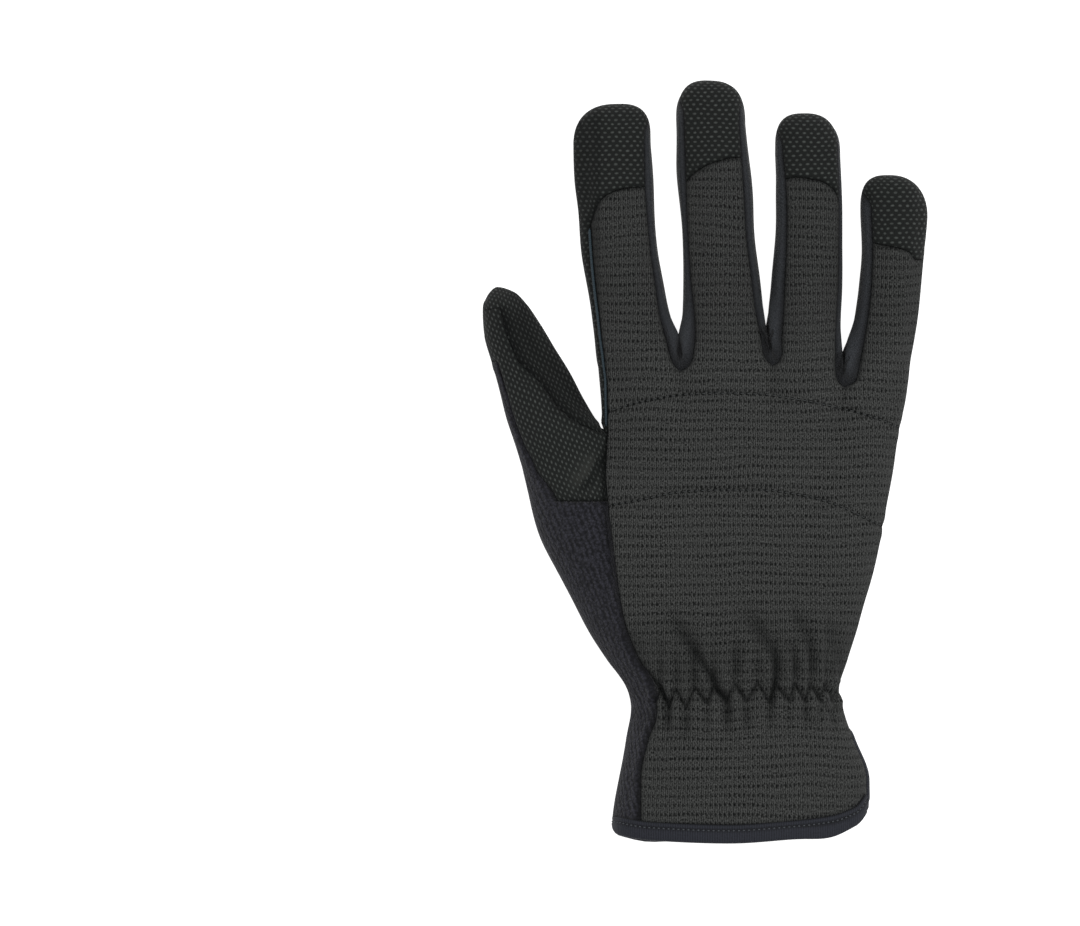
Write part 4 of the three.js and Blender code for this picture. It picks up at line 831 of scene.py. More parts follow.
# %% Distance of every point from the nearest seam
def edge_table(faces):
    """All edges of the faces, with the face that each belongs to."""
    edges = np.stack([faces, np.roll(faces, -1, axis=1)], axis=2).reshape(-1, 2)
    owner = np.repeat(np.arange(len(faces)), 4)
    real = edges[:, 0] != edges[:, 1]
    return edges[real], owner[real]


# An edge that two panels share is a seam, except across the thumb's tip
edges, owner = edge_table(skin_faces)
low_high = np.sort(edges, axis=1)
order = np.lexsort((low_high[:, 1], low_high[:, 0]))
same = (low_high[order][1:] == low_high[order][:-1]).all(axis=1)
pair = np.stack([order[:-1][same], order[1:][same]], axis=1)
differs = panel_of_face[owner[pair[:, 0]]] != panel_of_face[owner[pair[:, 1]]]
seam_edges = edges[pair[differs, 0]]
rise = np.diff(skin_points[seam_edges], axis=1)[:, 0]
seam_start = skin_points[seam_edges[:, 0]]
level = np.abs(rise[:, 1]) < 0.5 * np.linalg.norm(rise, axis=1)
on_tip = level & (seam_start[:, 0] < -50) & (seam_start[:, 1] > 40)
seam_edges = seam_edges[~on_tip]
tree = KDTree(2 * len(seam_edges))
seam_samples = np.concatenate([skin_points[seam_edges[:, 0]], skin_points[seam_edges].mean(axis=1)])
for number, point in enumerate(seam_samples):
    tree.insert(point, number)
tree.balance()
seam_distance = np.array([tree.find(point)[2] for point in skin_points])
print("seam edges", len(seam_edges), "largest distance", seam_distance.max().round(1), "mm")


# %% Lines that are sewn through the back, and the zigzag of the wrist
QUILT_LINES = [
    np.array([(-31.5, 16.8), (-21.1, 19.9), (-4.7, 22.5), (5.1, 22.8), (18.1, 22.5), (31.2, 20.6),
              (44.2, 18.0), (55.7, 14.7), (64.0, 11.5)]),
    np.array([(-32.0, -14.0), (-21.1, -12.1), (-8.0, -9.5), (8.3, -8.8), (18.1, -8.8), (31.2, -10.4),
              (44.2, -14.0), (52.4, -18.0), (58.5, -20.8)]),
]
ZIGZAG = np.array([
    (-16.5, -78.0), (-14.7, -73.1), (-12.1, -79.5), (-9.6, -74.0), (-6.2, -80.0), (-3.4, -73.1),
    (0.9, -78.6), (2.7, -73.1), (7.1, -77.5), (10.0, -72.3), (13.7, -77.7), (17.4, -72.1), (21.3, -78.1),
    (23.1, -72.1), (27.9, -77.7), (29.5, -72.1), (33.2, -77.7), (34.6, -72.1), (38.0, -76.7),
    (39.4, -72.3), (42.5, -77.0), (44.0, -73.0),
])


def smooth_line(points, spacing=1.0):
    """The line through points, with even points along it."""
    run = lengths(points)
    q = np.linspace(0, run[-1], max(2, round(run[-1] / spacing)))
    return np.column_stack([curve(run, points[:, k])(q) for k in range(points.shape[1])])


def beside_line(points, line):
    """For points seen from above and a chain of straight pieces: the length along the chain to the
    nearest place on it, and how far the point lies to its left (above zero) or right."""
    run, beside, length = np.zeros(len(points)), np.full(len(points), np.inf), 0.0
    for a, b in zip(line[:-1, :2], line[1:, :2]):
        size = math.dist(a, b)
        t = np.clip((points - a) @ (b - a) / size**2, 0, 1)
        away = points - a - t[:, None] * (b - a)
        distance = np.linalg.norm(away, axis=1) * np.where(away @ (a[1] - b[1], b[0] - a[0]) < 0, -1, 1)
        nearer = np.abs(distance) < np.abs(beside)
        run, beside = np.where(nearer, length + t * size, run), np.where(nearer, distance, beside)
        length += size
    return run, beside


def groove(distance, deep, wide, ridge, ridge_at):
    """A bell-shaped furrow along a line, with a low bell-shaped ridge beside it."""
    return ridge * bell(distance - ridge_at, 0.5 * ridge_at) - deep * bell(distance, wide)


# %% Folds: points along each, then how deep and how wide the furrow is
FOLDS = [
    (((-14, -45.5), (-9.8, -52), (-5.6, -58), (-1.2, -64.5), (1.9, -69.5), (4.6, -74.4), (7.1, -77.5),
      (7.6, -81), (7.8, -86), (8.3, -90.5)), 1.2, 1.3),
    (((10.5, -43), (14.2, -49.5), (18.6, -55.5), (22.2, -61), (23.7, -66.5), (23, -72.1), (22, -81.3),
      (22.9, -88)), 0.9, 1.4),
    (((35.7, -74.4), (39.5, -79.5), (42.6, -84.1)), 0.45, 0.8),
    (((40.3, -75.4), (42.5, -78.5), (44.4, -81.3)), 0.4, 0.8),
    (((-19, -66), (-14.2, -74.4), (-12.2, -79.6), (-13.9, -88.1), (-16, -90)), 0.8, 1.3),
    (((-33, 4), (-36.5, -4.9), (-42.3, -10.4)), 0.7, 1.6),
    (((9.5, -58), (10.5, -66), (10, -72.3)), 0.35, 1.5),
    (((26.5, -56), (29, -62), (29.8, -67), (29.5, -72.1)), 0.5, 1.1),
    (((27.5, -45.5), (31.4, -52), (34.6, -59), (35.6, -66), (34.6, -72.1)), 0.75, 1.2),
    (((38.8, -49.5), (41.6, -55.5), (42.6, -63), (41.3, -71.8)), 0.6, 1.2),
    (((-26, -52), (-22, -59.5), (-19.4, -66), (-16.9, -73)), 0.35, 1.4),
    (((-6, -60), (-4, -67), (-3.4, -73.1)), 0.4, 1.4),
    (((13.7, -77.7), (13.4, -83), (14, -88)), 0.35, 1.2),
    (((33.2, -77.7), (34, -82), (36, -87)), 0.45, 1.2),
    (((-6.2, -80), (-6.5, -85), (-7.5, -90)), 0.4, 1.4),
]
CROTCH_FOLD = np.array([(-34.5, 4.5), (-37.5, -1.5), (-41.0, -6.5), (-46.0, -11.0)])

# %% Furrows: how deep, how wide, how high the ridge beside it and how far off the ridge is
SEAM_GROOVE = (0.5, 0.8, 0.22, 2.2)
QUILT_GROOVE = (0.4, 0.9, 0.22, 3.0)
ZIGZAG_GROOVE = (1.5, 0.6, 0.5, 1.9)
CREASE_DEEP, CREASE_WIDE = 1.2, 1.3
PUCKER_DEEP, PUCKER_PITCH, PUCKER_WIDE = 0.42, 2.7, 2.6
# The thumb's crotch fold: how strongly its ridge is painted lighter and bare of dots, how high it stands, how
# wide and how long it is
BARE_MOST, BARE_HIGH, BARE_WIDE, BARE_LONG = 0.8, 0.5, 3.4, 18
SEAM_WIDE, ZIGZAG_WIDE, HEM_WIDE = 0.7, 0.55, 0.9
GATHER_PITCH, GATHER_REACH = 6.5, 15.0
PLEAT_HIGH, PALM_PLEAT_HIGH, WAVE_HIGH = 0.95, 0.35, 0.16
# Slow waves over the empty cloth: turns for each millimetre across and along, and where each starts
WAVES = (((0.11, 0.07), 0.4), ((-0.06, 0.13), 2.1), ((0.19, -0.05), 4.0), ((0.03, 0.21), 1.2))
# Below these heights a gusset and a fingertip's rim lie in shade; where tips and thumb begin
GUSSET_LIT_Z, RIM_LIT_Z, TIPS_Y, THUMB_X, THUMB_Y, EDGE_Y = 14.0, 12.5, 62, -34, 8, 6
# How dark each place is painted, from 0 for open cloth to 1 for a hole: seam lines, the zigzag's thread, and
# painted shade in creases, pleats and puckers, on the tips' rims, on the thumb's front and beside its edge,
# above the wrist and above the hem's tape; fingers darker towards their tips
SEAM_DARK, CREASE_DARK, RIM_DARK, FINGER_DARK = 0.9, 0.95, 0.45, 0.15
THUMB_SEAM_DARK, THUMB_FRONT_DARK, THUMB_TIP_DARK, THUMB_EDGE_DARK = 0.22, 0.46, 0.3, 0.55
ZIGZAG_DARK, PLEAT_DARK, ABOVE_WRIST_DARK, HEM_DARK = 0.95, 0.5, 0.1, 0.7

# %% The seams' and the quilting's share of the relief, and the folds, with the seams darkened and painted shade along the folds
quilts = [smooth_line(line) for line in QUILT_LINES]
is_back = ease(normals[:, 2] / 0.3)
is_palm = ease(-normals[:, 2] / 0.5)
flat = skin_points[:, :2]
x, y, z = skin_points.T
# No thread pulls evenly, so a seam's darkness, a dark line with painted shade in its groove, is between 0.56
# and 1 times as strong along its length
uneven = 0.78 + 0.22 * np.sin(2.3 * x + 1.1 * y) * np.cos(0.9 * y - 0.7 * x)
tips = np.array([(*finger["tip"], finger["shoulder"]) for finger in FINGERS])
_, tip_y, shoulder = tips[np.abs(flat[:, :1] - tips[:, 0]).argmin(axis=1)].T
in_tip = ease((y - shoulder) / (0.55 * (tip_y - shoulder)))
relief = (1 - in_tip) * groove(seam_distance, *SEAM_GROOVE)
# Dark seam lines, partly painted shade in their grooves
seams_and_painted_light = SEAM_DARK * uneven * bell(seam_distance, SEAM_WIDE)
quilt_run, quilt_beside = beside_line(flat, quilts[0])
for line in quilts:
    run, beside = beside_line(flat, line)
    relief += is_back * groove(np.abs(beside), *QUILT_GROOVE)
    nearer = np.abs(beside) < np.abs(quilt_beside)
    quilt_run, quilt_beside = np.where(nearer, run, quilt_run), np.where(nearer, beside, quilt_beside)
quilt_beside = np.where(is_back > 0, quilt_beside, 99.0)
for points, deep, wide in FOLDS:
    run, beside = beside_line(flat, smooth_line(np.array(points, float)))
    end = math.dist(points[0], points[-1])
    fade = is_back * ease(run / (0.3 * end)) * ease((end - run) / (0.35 * end) + 0.2)
    # A fold is tight at the elastic, and grows wider and fainter away from it
    flare = 1 + np.clip((np.abs(y - WRIST_Y) - 5) / 14, 0, 1.1) * (y < -40)
    width = wide * flare
    relief += fade * groove(np.abs(beside), 1.3 * deep, width, 0.35 * deep, 2.4 * width)
    # Painted shade along the fold's furrow, softer where the fold flares
    seams_and_painted_light += fade * min(0.85, 0.8 * deep) / flare**0.5 * bell(beside, 0.9 * width)
print("seams, quilting and", len(FOLDS), "folds")

# %% A gusset folds into a deep crease below the crotch; painted shade lies in the crease, on the gusset's sides and on the tips' rims
on_gusset = np.zeros(len(flat), bool)
on_gusset[skin_faces[panel_of_face >= GUSSET].ravel()] = True
for web in WEBS:
    crotch, back = np.array(web["crotch"]), np.array(web["back"])
    crease = np.array([crotch, lerp(crotch, back, 0.78)])
    run, beside = beside_line(flat, crease)
    in_crease = on_gusset * ease((math.dist(*crease) - run) / 3 + 0.3) * bell(beside, CREASE_WIDE)
    relief -= is_back * CREASE_DEEP * ease(run / 2.5) * in_crease
    seams_and_painted_light += CREASE_DARK * in_crease
seams_and_painted_light += is_back * CREASE_DARK * ease((GUSSET_LIT_Z - z) / 5) * on_gusset
seams_and_painted_light += is_back * RIM_DARK * ease((RIM_LIT_Z - z) / 4) * (y > TIPS_Y)
# The backs of the fingers are painted darker from the knuckles towards the tips
seams_and_painted_light += is_back * FINGER_DARK * ease((y - KNUCKLE_Y) / 25)
print("gusset points", on_gusset.sum())

# %% The thumb's stitched seam is puckered, with a dark seam line and painted shade in its puckers; its front gets painted shade, and its crotch has a fold whose ridge is painted lighter, with fewer dots
thumb_run, thumb_beside = beside_line(flat, thumb[THUMB_ROWS > 1.6][::3, T_STITCHED, :2])
on_thumb = is_back * (x < THUMB_X)
near_thumb = on_thumb * bell(thumb_beside, PUCKER_WIDE) * ease(thumb_run / 6)
pucker = TURN * thumb_run / PUCKER_PITCH
relief += PUCKER_DEEP * near_thumb * np.cos(pucker + 1.3 * np.sin(0.8 * thumb_run))
seams_and_painted_light += near_thumb * (THUMB_SEAM_DARK + 0.2 * np.cos(pucker + 1.0))
in_shade = ease((thumb_beside + 0.5) / 2.5) * ease((9 - thumb_beside) / 3) * ease(thumb_run / 8)
far_front = ease((thumb_beside - 4) / 4)
seams_and_painted_light += on_thumb * (THUMB_FRONT_DARK * in_shade + THUMB_TIP_DARK * far_front) * (y > THUMB_Y)
crotch_run, crotch_beside = beside_line(flat, CROTCH_FOLD)
ragged = 1 + 0.25 * np.sin(1.7 * crotch_run + 0.6) + 0.15 * np.sin(3.1 * crotch_run)
# The crotch fold's ridge is painted lighter and loses dots: a painted highlight
bare_and_lit = BARE_MOST * is_back * bell(crotch_beside, BARE_WIDE * ragged)
bare_and_lit *= ease(crotch_run / 6) * ease((BARE_LONG - crotch_run) / 7)
relief += BARE_HIGH * bare_and_lit
# A painted shadow on the thumb's patch, along the back panel's raised edge
edge_line = lower[:, T_STITCHED, :2]
from_edge = np.interp(-y, -edge_line[:, 1], edge_line[:, 0]) - x
at_edge = ease((from_edge + 0.2) / 0.4) * ease((1.9 - from_edge) / 1.2) * (y < EDGE_Y)
seams_and_painted_light += is_back * THUMB_EDGE_DARK * at_edge
print("bare cloth at", (bare_and_lit > 0.4).sum(), "points")

# %% The elastic pulls the back together in pleats, whose ends meet in a zigzag
above = y - np.interp(x, *ZIGZAG.T)
pleat = np.cos(np.interp(x, ZIGZAG[:, 0], np.arange(len(ZIGZAG))) * math.pi) * np.where(above > 0, 1, -1)
pleat *= bell(above, np.where(above > 0, GATHER_REACH, 0.7 * GATHER_REACH))
zigzag = np.abs(beside_line(flat, ZIGZAG)[1])
tight = 0.84 + 0.16 * np.sin(0.9 * x) * np.cos(0.37 * x + 0.6 * y)
relief += is_back * tight * groove(zigzag, *ZIGZAG_GROOVE)
relief += is_back * PLEAT_HIGH * pleat * (1 - bell(above, 3))
relief += is_palm * PALM_PLEAT_HIGH * bell(y - WRIST_Y, GATHER_REACH) * np.cos(TURN * x / GATHER_PITCH)
# Painted shade in the zigzag's furrow, where its thread lies too, over the band above the elastic, and in the
# pleats' hollows
seams_and_painted_light += is_back * tight * ZIGZAG_DARK * bell(zigzag, ZIGZAG_WIDE)
seams_and_painted_light += is_back * ABOVE_WRIST_DARK * ease((above + 1) / 3) * ease((32 - above) / 14)
seams_and_painted_light += is_back * PLEAT_DARK * np.clip(-pleat * (1 - bell(above, 2.5)), 0, 1) ** 2
# A painted shadow along the top edge of the hem's tape
hem_line = np.where(normals[:, 2] > 0, hem_back(x), hem_palm(x))
seams_and_painted_light += HEM_DARK * bell(y - hem_line, HEM_WIDE)
# Seam darkness and painted shade are capped at 1; below zero the layer holds the painted highlight on the
# thumb's crotch fold
seams_and_painted_light = np.minimum(seams_and_painted_light, 1.0) - 0.95 * bare_and_lit * (seams_and_painted_light < 0.2)
print("darkest", seams_and_painted_light.max().round(2), "barest", seams_and_painted_light.min().round(2))

# %% Give the skin its relief
waves = sum(np.sin(flat @ direction + phase) for direction, phase in WAVES)
relief += WAVE_HIGH * waves * np.clip(seam_distance / 5, 0, 1)
skin_points = skin_points + normals * relief[:, None]
skin_points[:, 2] = np.maximum(skin_points[:, 2], 0)
normals = point_normals(skin_points, skin_faces)
print("relief from", relief.min().round(2), "to", relief.max().round(2), "mm")

# %% [markdown]
# ## Panels
#
# Each panel is cut out of the skin and gets a second face one cloth thickness deeper, with a wall
# along its border. Solidify could do that too, but it can't take one set of normals for
# panels that meet, which keeps the walls of two neighbours apart.

# %% Make a mesh object, and cut a panel out of the skin
SLOTS = ["knit", "dotted_grip", "dotted_grip", "dotted_grip", "terry", "stretch", "stretch", "stretch"]
PANEL_INSET, LET_OUT = 0.15, -0.25
GUSSET_SHADE, GUSSET_SEAM_DARK = 1.0, 0.85
slot_of = dict(zip(PANELS, SLOTS))
pieces = {}


def add_object(name, points, faces, pattern=None):
    """A mesh object from points in millimetres, faces, and pattern coordinates for each corner."""
    mesh = bpy.data.meshes.new(name)
    mesh.from_pydata((np.asarray(points) * MM).tolist(), [], [list(face) for face in faces])
    if pattern is not None:
        layer = mesh.uv_layers.new(name="Pattern")
        layer.uv.foreach_set("vector", np.asarray(pattern, np.float32).ravel())
    mesh.polygons.foreach_set("use_smooth", np.full(len(mesh.polygons), True))
    mesh.update()
    obj = bpy.data.objects.new(name, mesh)
    bpy.context.scene.collection.objects.link(obj)
    pieces[name] = obj
    return obj


def point_layer(obj, name, kind, key, values):
    """A named value at every point of an object, which its material reads."""
    layer = obj.data.attributes.new(name, kind, "POINT")
    layer.data.foreach_set(key, values.astype(np.float32).ravel())


def dress(name):
    """The piece rides on the root and stands for its node, whose imported part is hidden."""
    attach(pieces[name], "root")
    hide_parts(name)


def cut_panel(name, code):
    """The panel's faces, the same faces one cloth deeper, and a wall along the border. The border is
    drawn in by the inset outside and let out a little inside, so that no light falls through a seam."""
    own = panel_of_face == code
    ids, local = np.unique(skin_faces[own], return_inverse=True)
    local = local.reshape(-1, 4)
    count = len(ids)
    outer = skin_points[ids].copy()
    edge, face = edge_table(local)
    key = np.sort(edge, axis=1) @ (count, 1)
    _, first, times = np.unique(key, return_index=True, return_counts=True)
    border, beside = edge[first[times == 1]], face[first[times == 1]]
    centre = outer[local[beside]].mean(axis=1)
    pull = np.zeros_like(outer)
    for k in (0, 1):
        np.add.at(pull, border[:, k], centre - outer[border[:, k]])
    outer += PANEL_INSET * unit(pull)
    inner = lerp(skin_points[ids], outer, LET_OUT) - normals[ids] * CLOTH

    # A quad with two corners in one place, at the pole of a tip, becomes a triangle
    uv = pattern[own]
    corner_uv = np.zeros((count, 2))
    corner_uv[local.ravel()] = uv.reshape(-1, 2)
    a, b = border.T
    walls = np.stack([b, a, a + count, b + count], axis=1)
    wall_uv = corner_uv[np.stack([b, a, a, b], axis=1)]
    pole = (local == np.roll(local, -1, axis=1)).any(axis=1)
    keep = local[pole] != np.roll(local[pole], -1, axis=1)
    tris, tri_uv = local[pole][keep].reshape(-1, 3), uv[pole][keep].reshape(-1, 3, 2)
    quads, quad_uv = local[~pole], uv[~pole]
    faces = [*quads, *(quads[:, ::-1] + count), *walls, *tris, *(tris[:, ::-1] + count)]
    corners = [quad_uv, quad_uv[:, ::-1], wall_uv, tri_uv, tri_uv[:, ::-1]]
    corners = np.concatenate([c.reshape(-1, 2) for c in corners])
    obj = add_object(name, np.concatenate([outer, inner]), faces, corners)

    shade = seams_and_painted_light[ids]
    # On the gussets, a wider band of painted shade along the seams
    if slot_of[name] == "stretch":
        shade = np.maximum(shade, GUSSET_SEAM_DARK * bell(seam_distance[ids], GUSSET_SHADE))
    point_layer(obj, "SeamsAndPaintedLight", "FLOAT", "value", np.tile(shade, 2))
    if name == "back_panel":
        place = np.column_stack([quilt_run[ids], quilt_beside[ids], np.zeros(count)])
        point_layer(obj, "Quilting", "FLOAT_VECTOR", "vector", np.tile(place, (2, 1)))
    print(name, len(faces), "faces")


for code, (name, slot) in enumerate(zip(PANELS, SLOTS)):
    cut_panel(name, code)
    dress(name)

# %% [markdown]
# ## Tapes and piping
#
# A raw edge of cloth frays, so the hem and the slit are bound: a tape is folded over the edge and
# sewn through. Both tapes and the piping are made in the same way, as a closed profile that is
# carried along a line. A curve with a bevel could do it too, but then the profile could not turn
# with the cloth.

# %% Carry a profile along a line
def rounded_profile(width, tall, count, power=4.0):
    """A superellipse of a width and a height, as count points."""
    turn = np.arange(count) / count * TURN
    return np.column_stack([width / 2 * signed_power(np.cos(turn), 2 / power),
                            tall / 2 * signed_power(np.sin(turn), 2 / power)])


def ring_quads(rows, count):
    """The row and the column of each face between rings of count points, and its four corners."""
    row, k = (part.ravel() for part in np.meshgrid(np.arange(rows - 1), np.arange(count), indexing="ij"))
    here, after = row * count, (k + 1) % count
    return row, k, np.stack([here + k, here + after, here + count + after, here + count + k], axis=1)


def swept(name, path, sideways, upwards, profile, round_end=0.0, stitches_and_shadow_at=None):
    """Path point plus the profile's two coordinates along two directions, for each path point.
    Towards both ends the profile shrinks as a quarter circle over round_end. The pattern is the
    length along the path and the length round the profile. The last argument darkens each
    point: by a row of stitches and by a painted shadow along an edge."""
    profile = np.broadcast_to(profile, (len(path), *profile.shape[-2:]))
    run = lengths(path)
    if round_end:
        near = np.clip(np.minimum(run, run[-1] - run) / round_end, 0.02, 1)
        profile = profile * np.sqrt(1 - (1 - near) ** 2)[:, None, None]
    grid = path[:, None] + profile[..., :1] * sideways[:, None] + profile[..., 1:] * upwards[:, None]
    rows, count = grid.shape[:2]
    row, k, quads = ring_quads(rows, count)
    loop = profile[rows // 2]
    girth = lengths(np.concatenate([loop, loop[:1]]))
    steps_round = ((0, 0), (0, 1), (1, 1), (1, 0))
    uv = np.stack([np.stack([run[row + a], girth[k + b]], axis=1) for a, b in steps_round], axis=1)
    points = grid.reshape(-1, 3)
    a, b, c = (points[quads[:, i]] for i in range(3))
    if np.einsum("ij,ij->", np.cross(b - a, c - a), a - np.repeat(path[:-1], count, 0)) < 0:
        quads, uv = quads[:, ::-1], uv[:, ::-1]
    ends = [np.arange(count), (rows - 1) * count + np.arange(count)]
    for i, (end, away) in enumerate(zip(ends, (path[0] - path[1], path[-1] - path[-2]))):
        a, b, c = points[end[[0, count // 4, count // 2]]]
        ends[i] = end if np.cross(b - a, c - a) @ away > 0 else end[::-1]
    uv = np.concatenate([uv.reshape(-1, 2), np.zeros((2 * count, 2))])
    obj = add_object(name, points, [*quads, *ends], uv)
    if stitches_and_shadow_at is not None:
        point_layer(obj, "SeamsAndPaintedLight", "FLOAT", "value", stitches_and_shadow_at)
    print(name, len(quads) + 2, "faces,", round(run[-1], 1), "mm long")


# %% The tape round the hem
hem_ring = np.concatenate([lower_palm[-1, :-1], lower_back[-1]])
hem_above = np.concatenate([lower_palm[-5, :-1], lower_back[-5]])
hem_down = unit(smoothed(hem_ring - hem_above, 4))
hem_along = unit(np.gradient(hem_ring, axis=0))
hem_out = unit(smoothed(np.cross(hem_down, hem_along), 4))
hem_down = unit(hem_down - np.sum(hem_down * hem_out, axis=1, keepdims=True) * hem_out)
HEM_STITCH, TAPE_OVERLAP, LEFT_CORNER, RIGHT_CORNER = 2.1, 0.5, 2.6, 3.9
TAPE_CLIMB, CLIMB_WIDE, TAPE_SWELL, SWELL_AT, SWELL_WIDE, TAPE_SLIM = 2.2, 2.4, 1.0, 13, 7, 0.72
from_left = hem_ring[:, 0] - hem_ring[:, 0].min()
from_right = hem_ring[:, 0].max() - hem_ring[:, 0]
corner = lambda run, radius: radius - np.sqrt(radius**2 - np.clip(radius - run, 0, None) ** 2)
tape_climb = TAPE_CLIMB * bell(from_right, CLIMB_WIDE)
tape_tall = HEM_TAPE - corner(from_left, LEFT_CORNER) - corner(from_right, RIGHT_CORNER)
tape_tall += TAPE_SWELL * bell(from_right - SWELL_AT, SWELL_WIDE) + tape_climb
tape_shape = np.stack([rounded_profile(HEM_TAPE_THICK, tall, 40) for tall in tape_tall])
below_top = tape_tall[:, None] / 2 + tape_shape[..., 1]
tape_slim = lerp(TAPE_SLIM, 1, ease(from_left / 4))
tape_shape[..., 0] *= tape_slim[:, None]
tape_shape[..., 0] *= 1 - 0.3 * bell(below_top - HEM_STITCH, 0.55) + 0.05 * np.sin(below_top)
# Dark along the row of stitches, partly painted shade in its furrow, and a painted shadow along the tape's
# top edge
stitch_row_and_edge_shadow = 0.85 * bell(below_top - HEM_STITCH, 0.5) + 0.9 * bell(below_top, 0.45)
hem_middle = hem_ring - hem_out * CLOTH / 2
hem_path = hem_middle + hem_down * (tape_tall / 2 - TAPE_OVERLAP - tape_climb)[:, None]
swept("cuff_binding", hem_path, hem_out, hem_down, tape_shape, round_end=1.2, stitches_and_shadow_at=stitch_row_and_edge_shadow)
dress("cuff_binding")

# %% The tape round the slit: up one edge, round the top and down the other
middle = lower[SLIT_ROW:, L_RIGHT]
foot = middle[-1] + hem_down[0] * (tape_tall[0] - tape_climb[0] - TAPE_OVERLAP - 0.3)
middle = np.concatenate([middle, foot[None]])
to_back = unit(np.concatenate([lower_back[SLIT_ROW:, -1], lower_back[-1:, -1]]) - middle)
to_back[:6] = to_back[6]
to_back[-1] = to_back[-2]
slit_down = unit(smoothed(np.gradient(middle, axis=0), 3))
slit_out = unit(np.cross(slit_down, to_back))
slit_out *= np.sign(slit_out[:, :1])
across_slit = np.cross(slit_out, slit_down)
to_back = unit(across_slit * np.sign(np.sum(across_slit * to_back, axis=1, keepdims=True)))
REACH = SLIT_HALF_WIDTH - SEAM_GAP - SLIT_TAPE / 2
first = int(np.argmax(lengths(middle) > SLIT_HALF_WIDTH))
arm, arm_out, aside = middle[first:], slit_out[first:], REACH * to_back[first:]
arc = np.linspace(0, math.pi, 15)[1:-1, None]
top = arm[0] + np.cos(arc) * aside[0] - REACH * np.sin(arc) * slit_down[first]
path = np.concatenate([(arm + aside)[::-1], top, arm - aside]) - CLOTH / 2 * arm_out[0]
outward = np.concatenate([arm_out[::-1], np.repeat(arm_out[:1], len(top), 0), arm_out])
aside = unit(np.cross(unit(np.gradient(path, axis=0)), outward))
slit_profile = rounded_profile(SLIT_TAPE_THICK, SLIT_TAPE, count=20, power=3.0)
swept("vent_binding", path, outward, aside, slit_profile, round_end=2.4)
dress("vent_binding")

# %% The piping beside the seam of the index finger
index_grid, index_rows = fingers[0]
down_index = np.concatenate([index_grid[index_rows >= CAP_ROW][:, :BACK], upper[1:, :BACK]])
beside, seam_line, beyond = (down_index[:, D_LEFT + k] for k in (-2, 0, 2))
along = unit(smoothed(np.gradient(seam_line, axis=0), 3))
outside = unit(smoothed(beside - beyond, 3))
up = unit(np.cross(outside, along))
up *= np.sign(up[:, 2:])
piping_path = smoothed(seam_line, 2) + 0.12 * outside + (PIPING_RADIUS - 0.25) * up
kept = slice(2, -3)
round_profile = rounded_profile(2 * PIPING_RADIUS, 2 * PIPING_RADIUS, count=16, power=2.0)
swept("index_piping", piping_path[kept], outside[kept], up[kept], round_profile, round_end=1.0)
dress("index_piping")

# %% [markdown]
# ## Patches on the palm
#
# Two overlays of the dotted cloth are sewn on where a tool rubs: a strip under the knuckles and a
# C over the heel of the hand. A patch is flat, so only its border needs care: loops that
# follow the outline inwards give it a turned-down edge and the furrows of its two rows of stitches.

# %% A patch from its outline
UPPER_PATCH = np.array([
    (46.8, 31.0), (34.4, 32.8), (27.9, 34.4), (20.0, 35.7), (14.0, 33.4), (8.3, 31.5), (1.8, 31.8),
    (-4.7, 32.8), (-10.0, 32.6), (-16.9, 28.6), (-19.9, 22.4), (-20.2, 17.2), (-19.5, 12.0), (-15.4, 8.7),
    (-6.4, 9.6), (3.4, 11.9), (14.9, 13.2), (27.9, 12.6), (41.0, 10.6), (49.0, 9.8), (53.6, 14.0),
    (54.0, 22.0), (51.5, 28.5),
])
LOWER_PATCH = np.array([
    (9.7, 8.6), (21.1, 8.0), (34.1, 7.0), (45.6, 4.1), (51.3, -0.8), (51.8, -7.4), (48.0, -12.6),
    (35.8, -13.2), (25.0, -12.9), (19.8, -15.9), (19.1, -20.2), (20.2, -25.6), (24.4, -30.0),
    (29.0, -30.7), (35.5, -28.9), (45.0, -23.5), (50.0, -21.4), (51.6, -27.0), (49.8, -36.6),
    (46.3, -41.6), (40.0, -45.5), (24.0, -49.4), (9.9, -45.7), (2.4, -39.3), (-2.3, -31.0), (-5.0, -23.0),
    (-7.5, -13.8), (-7.4, -3.8), (-5.0, 3.9), (1.0, 7.5),
])
PATCH_BASE = PALM_LIFT - SEAM_GAP - PATCH_THICK
STITCH_INSETS = (0.8, 2.2)
PATCH_LOOPS = np.array([0.0, 0.05, 0.2, 0.45, 0.65, 0.8, 0.95, 1.2, 1.5, 1.9, 2.05, 2.2, 2.35, 2.6, 3.0])
EDGE_ROUND, EDGE_HIGH, FURROW_DEEP, FURROW_WIDE, MOST_TURNED_UP = 0.45, 0.5, 0.3, 0.18, 1.5
SMOOTHINGS, STITCH_SINK = 14, 0.12


def closed_line(points, spacing=0.8):
    """A smooth closed line: the outline is filled with even points, and each of them is averaged
    with its two neighbours, again and again, which rounds the corners."""
    loop = np.concatenate([points, points[:1]])
    run = lengths(loop)
    line = columns_at(np.arange(0, run[-1], spacing), run, loop)
    for _ in range(SMOOTHINGS):
        line = (np.roll(line, 1, 0) + 2 * line + np.roll(line, -1, 0)) / 4
    return line


def inwards(line):
    """At each point of a closed line that runs clockwise, the direction to the inside."""
    tangent = unit(np.roll(line, -1, 0) - np.roll(line, 1, 0))
    return np.column_stack([tangent[:, 1], -tangent[:, 0]])


def turned_up(line, inset):
    """How far a patch rises at an inset from its outline, to stay on the palm where that curves up."""
    x, y = line.T
    rise = np.clip(underside(x, y, INDEX_LEFT) - PALM_LIFT + 0.15, 0, MOST_TURNED_UP)
    return rise * (x > 15) * (1 - ease(inset / 3.2))


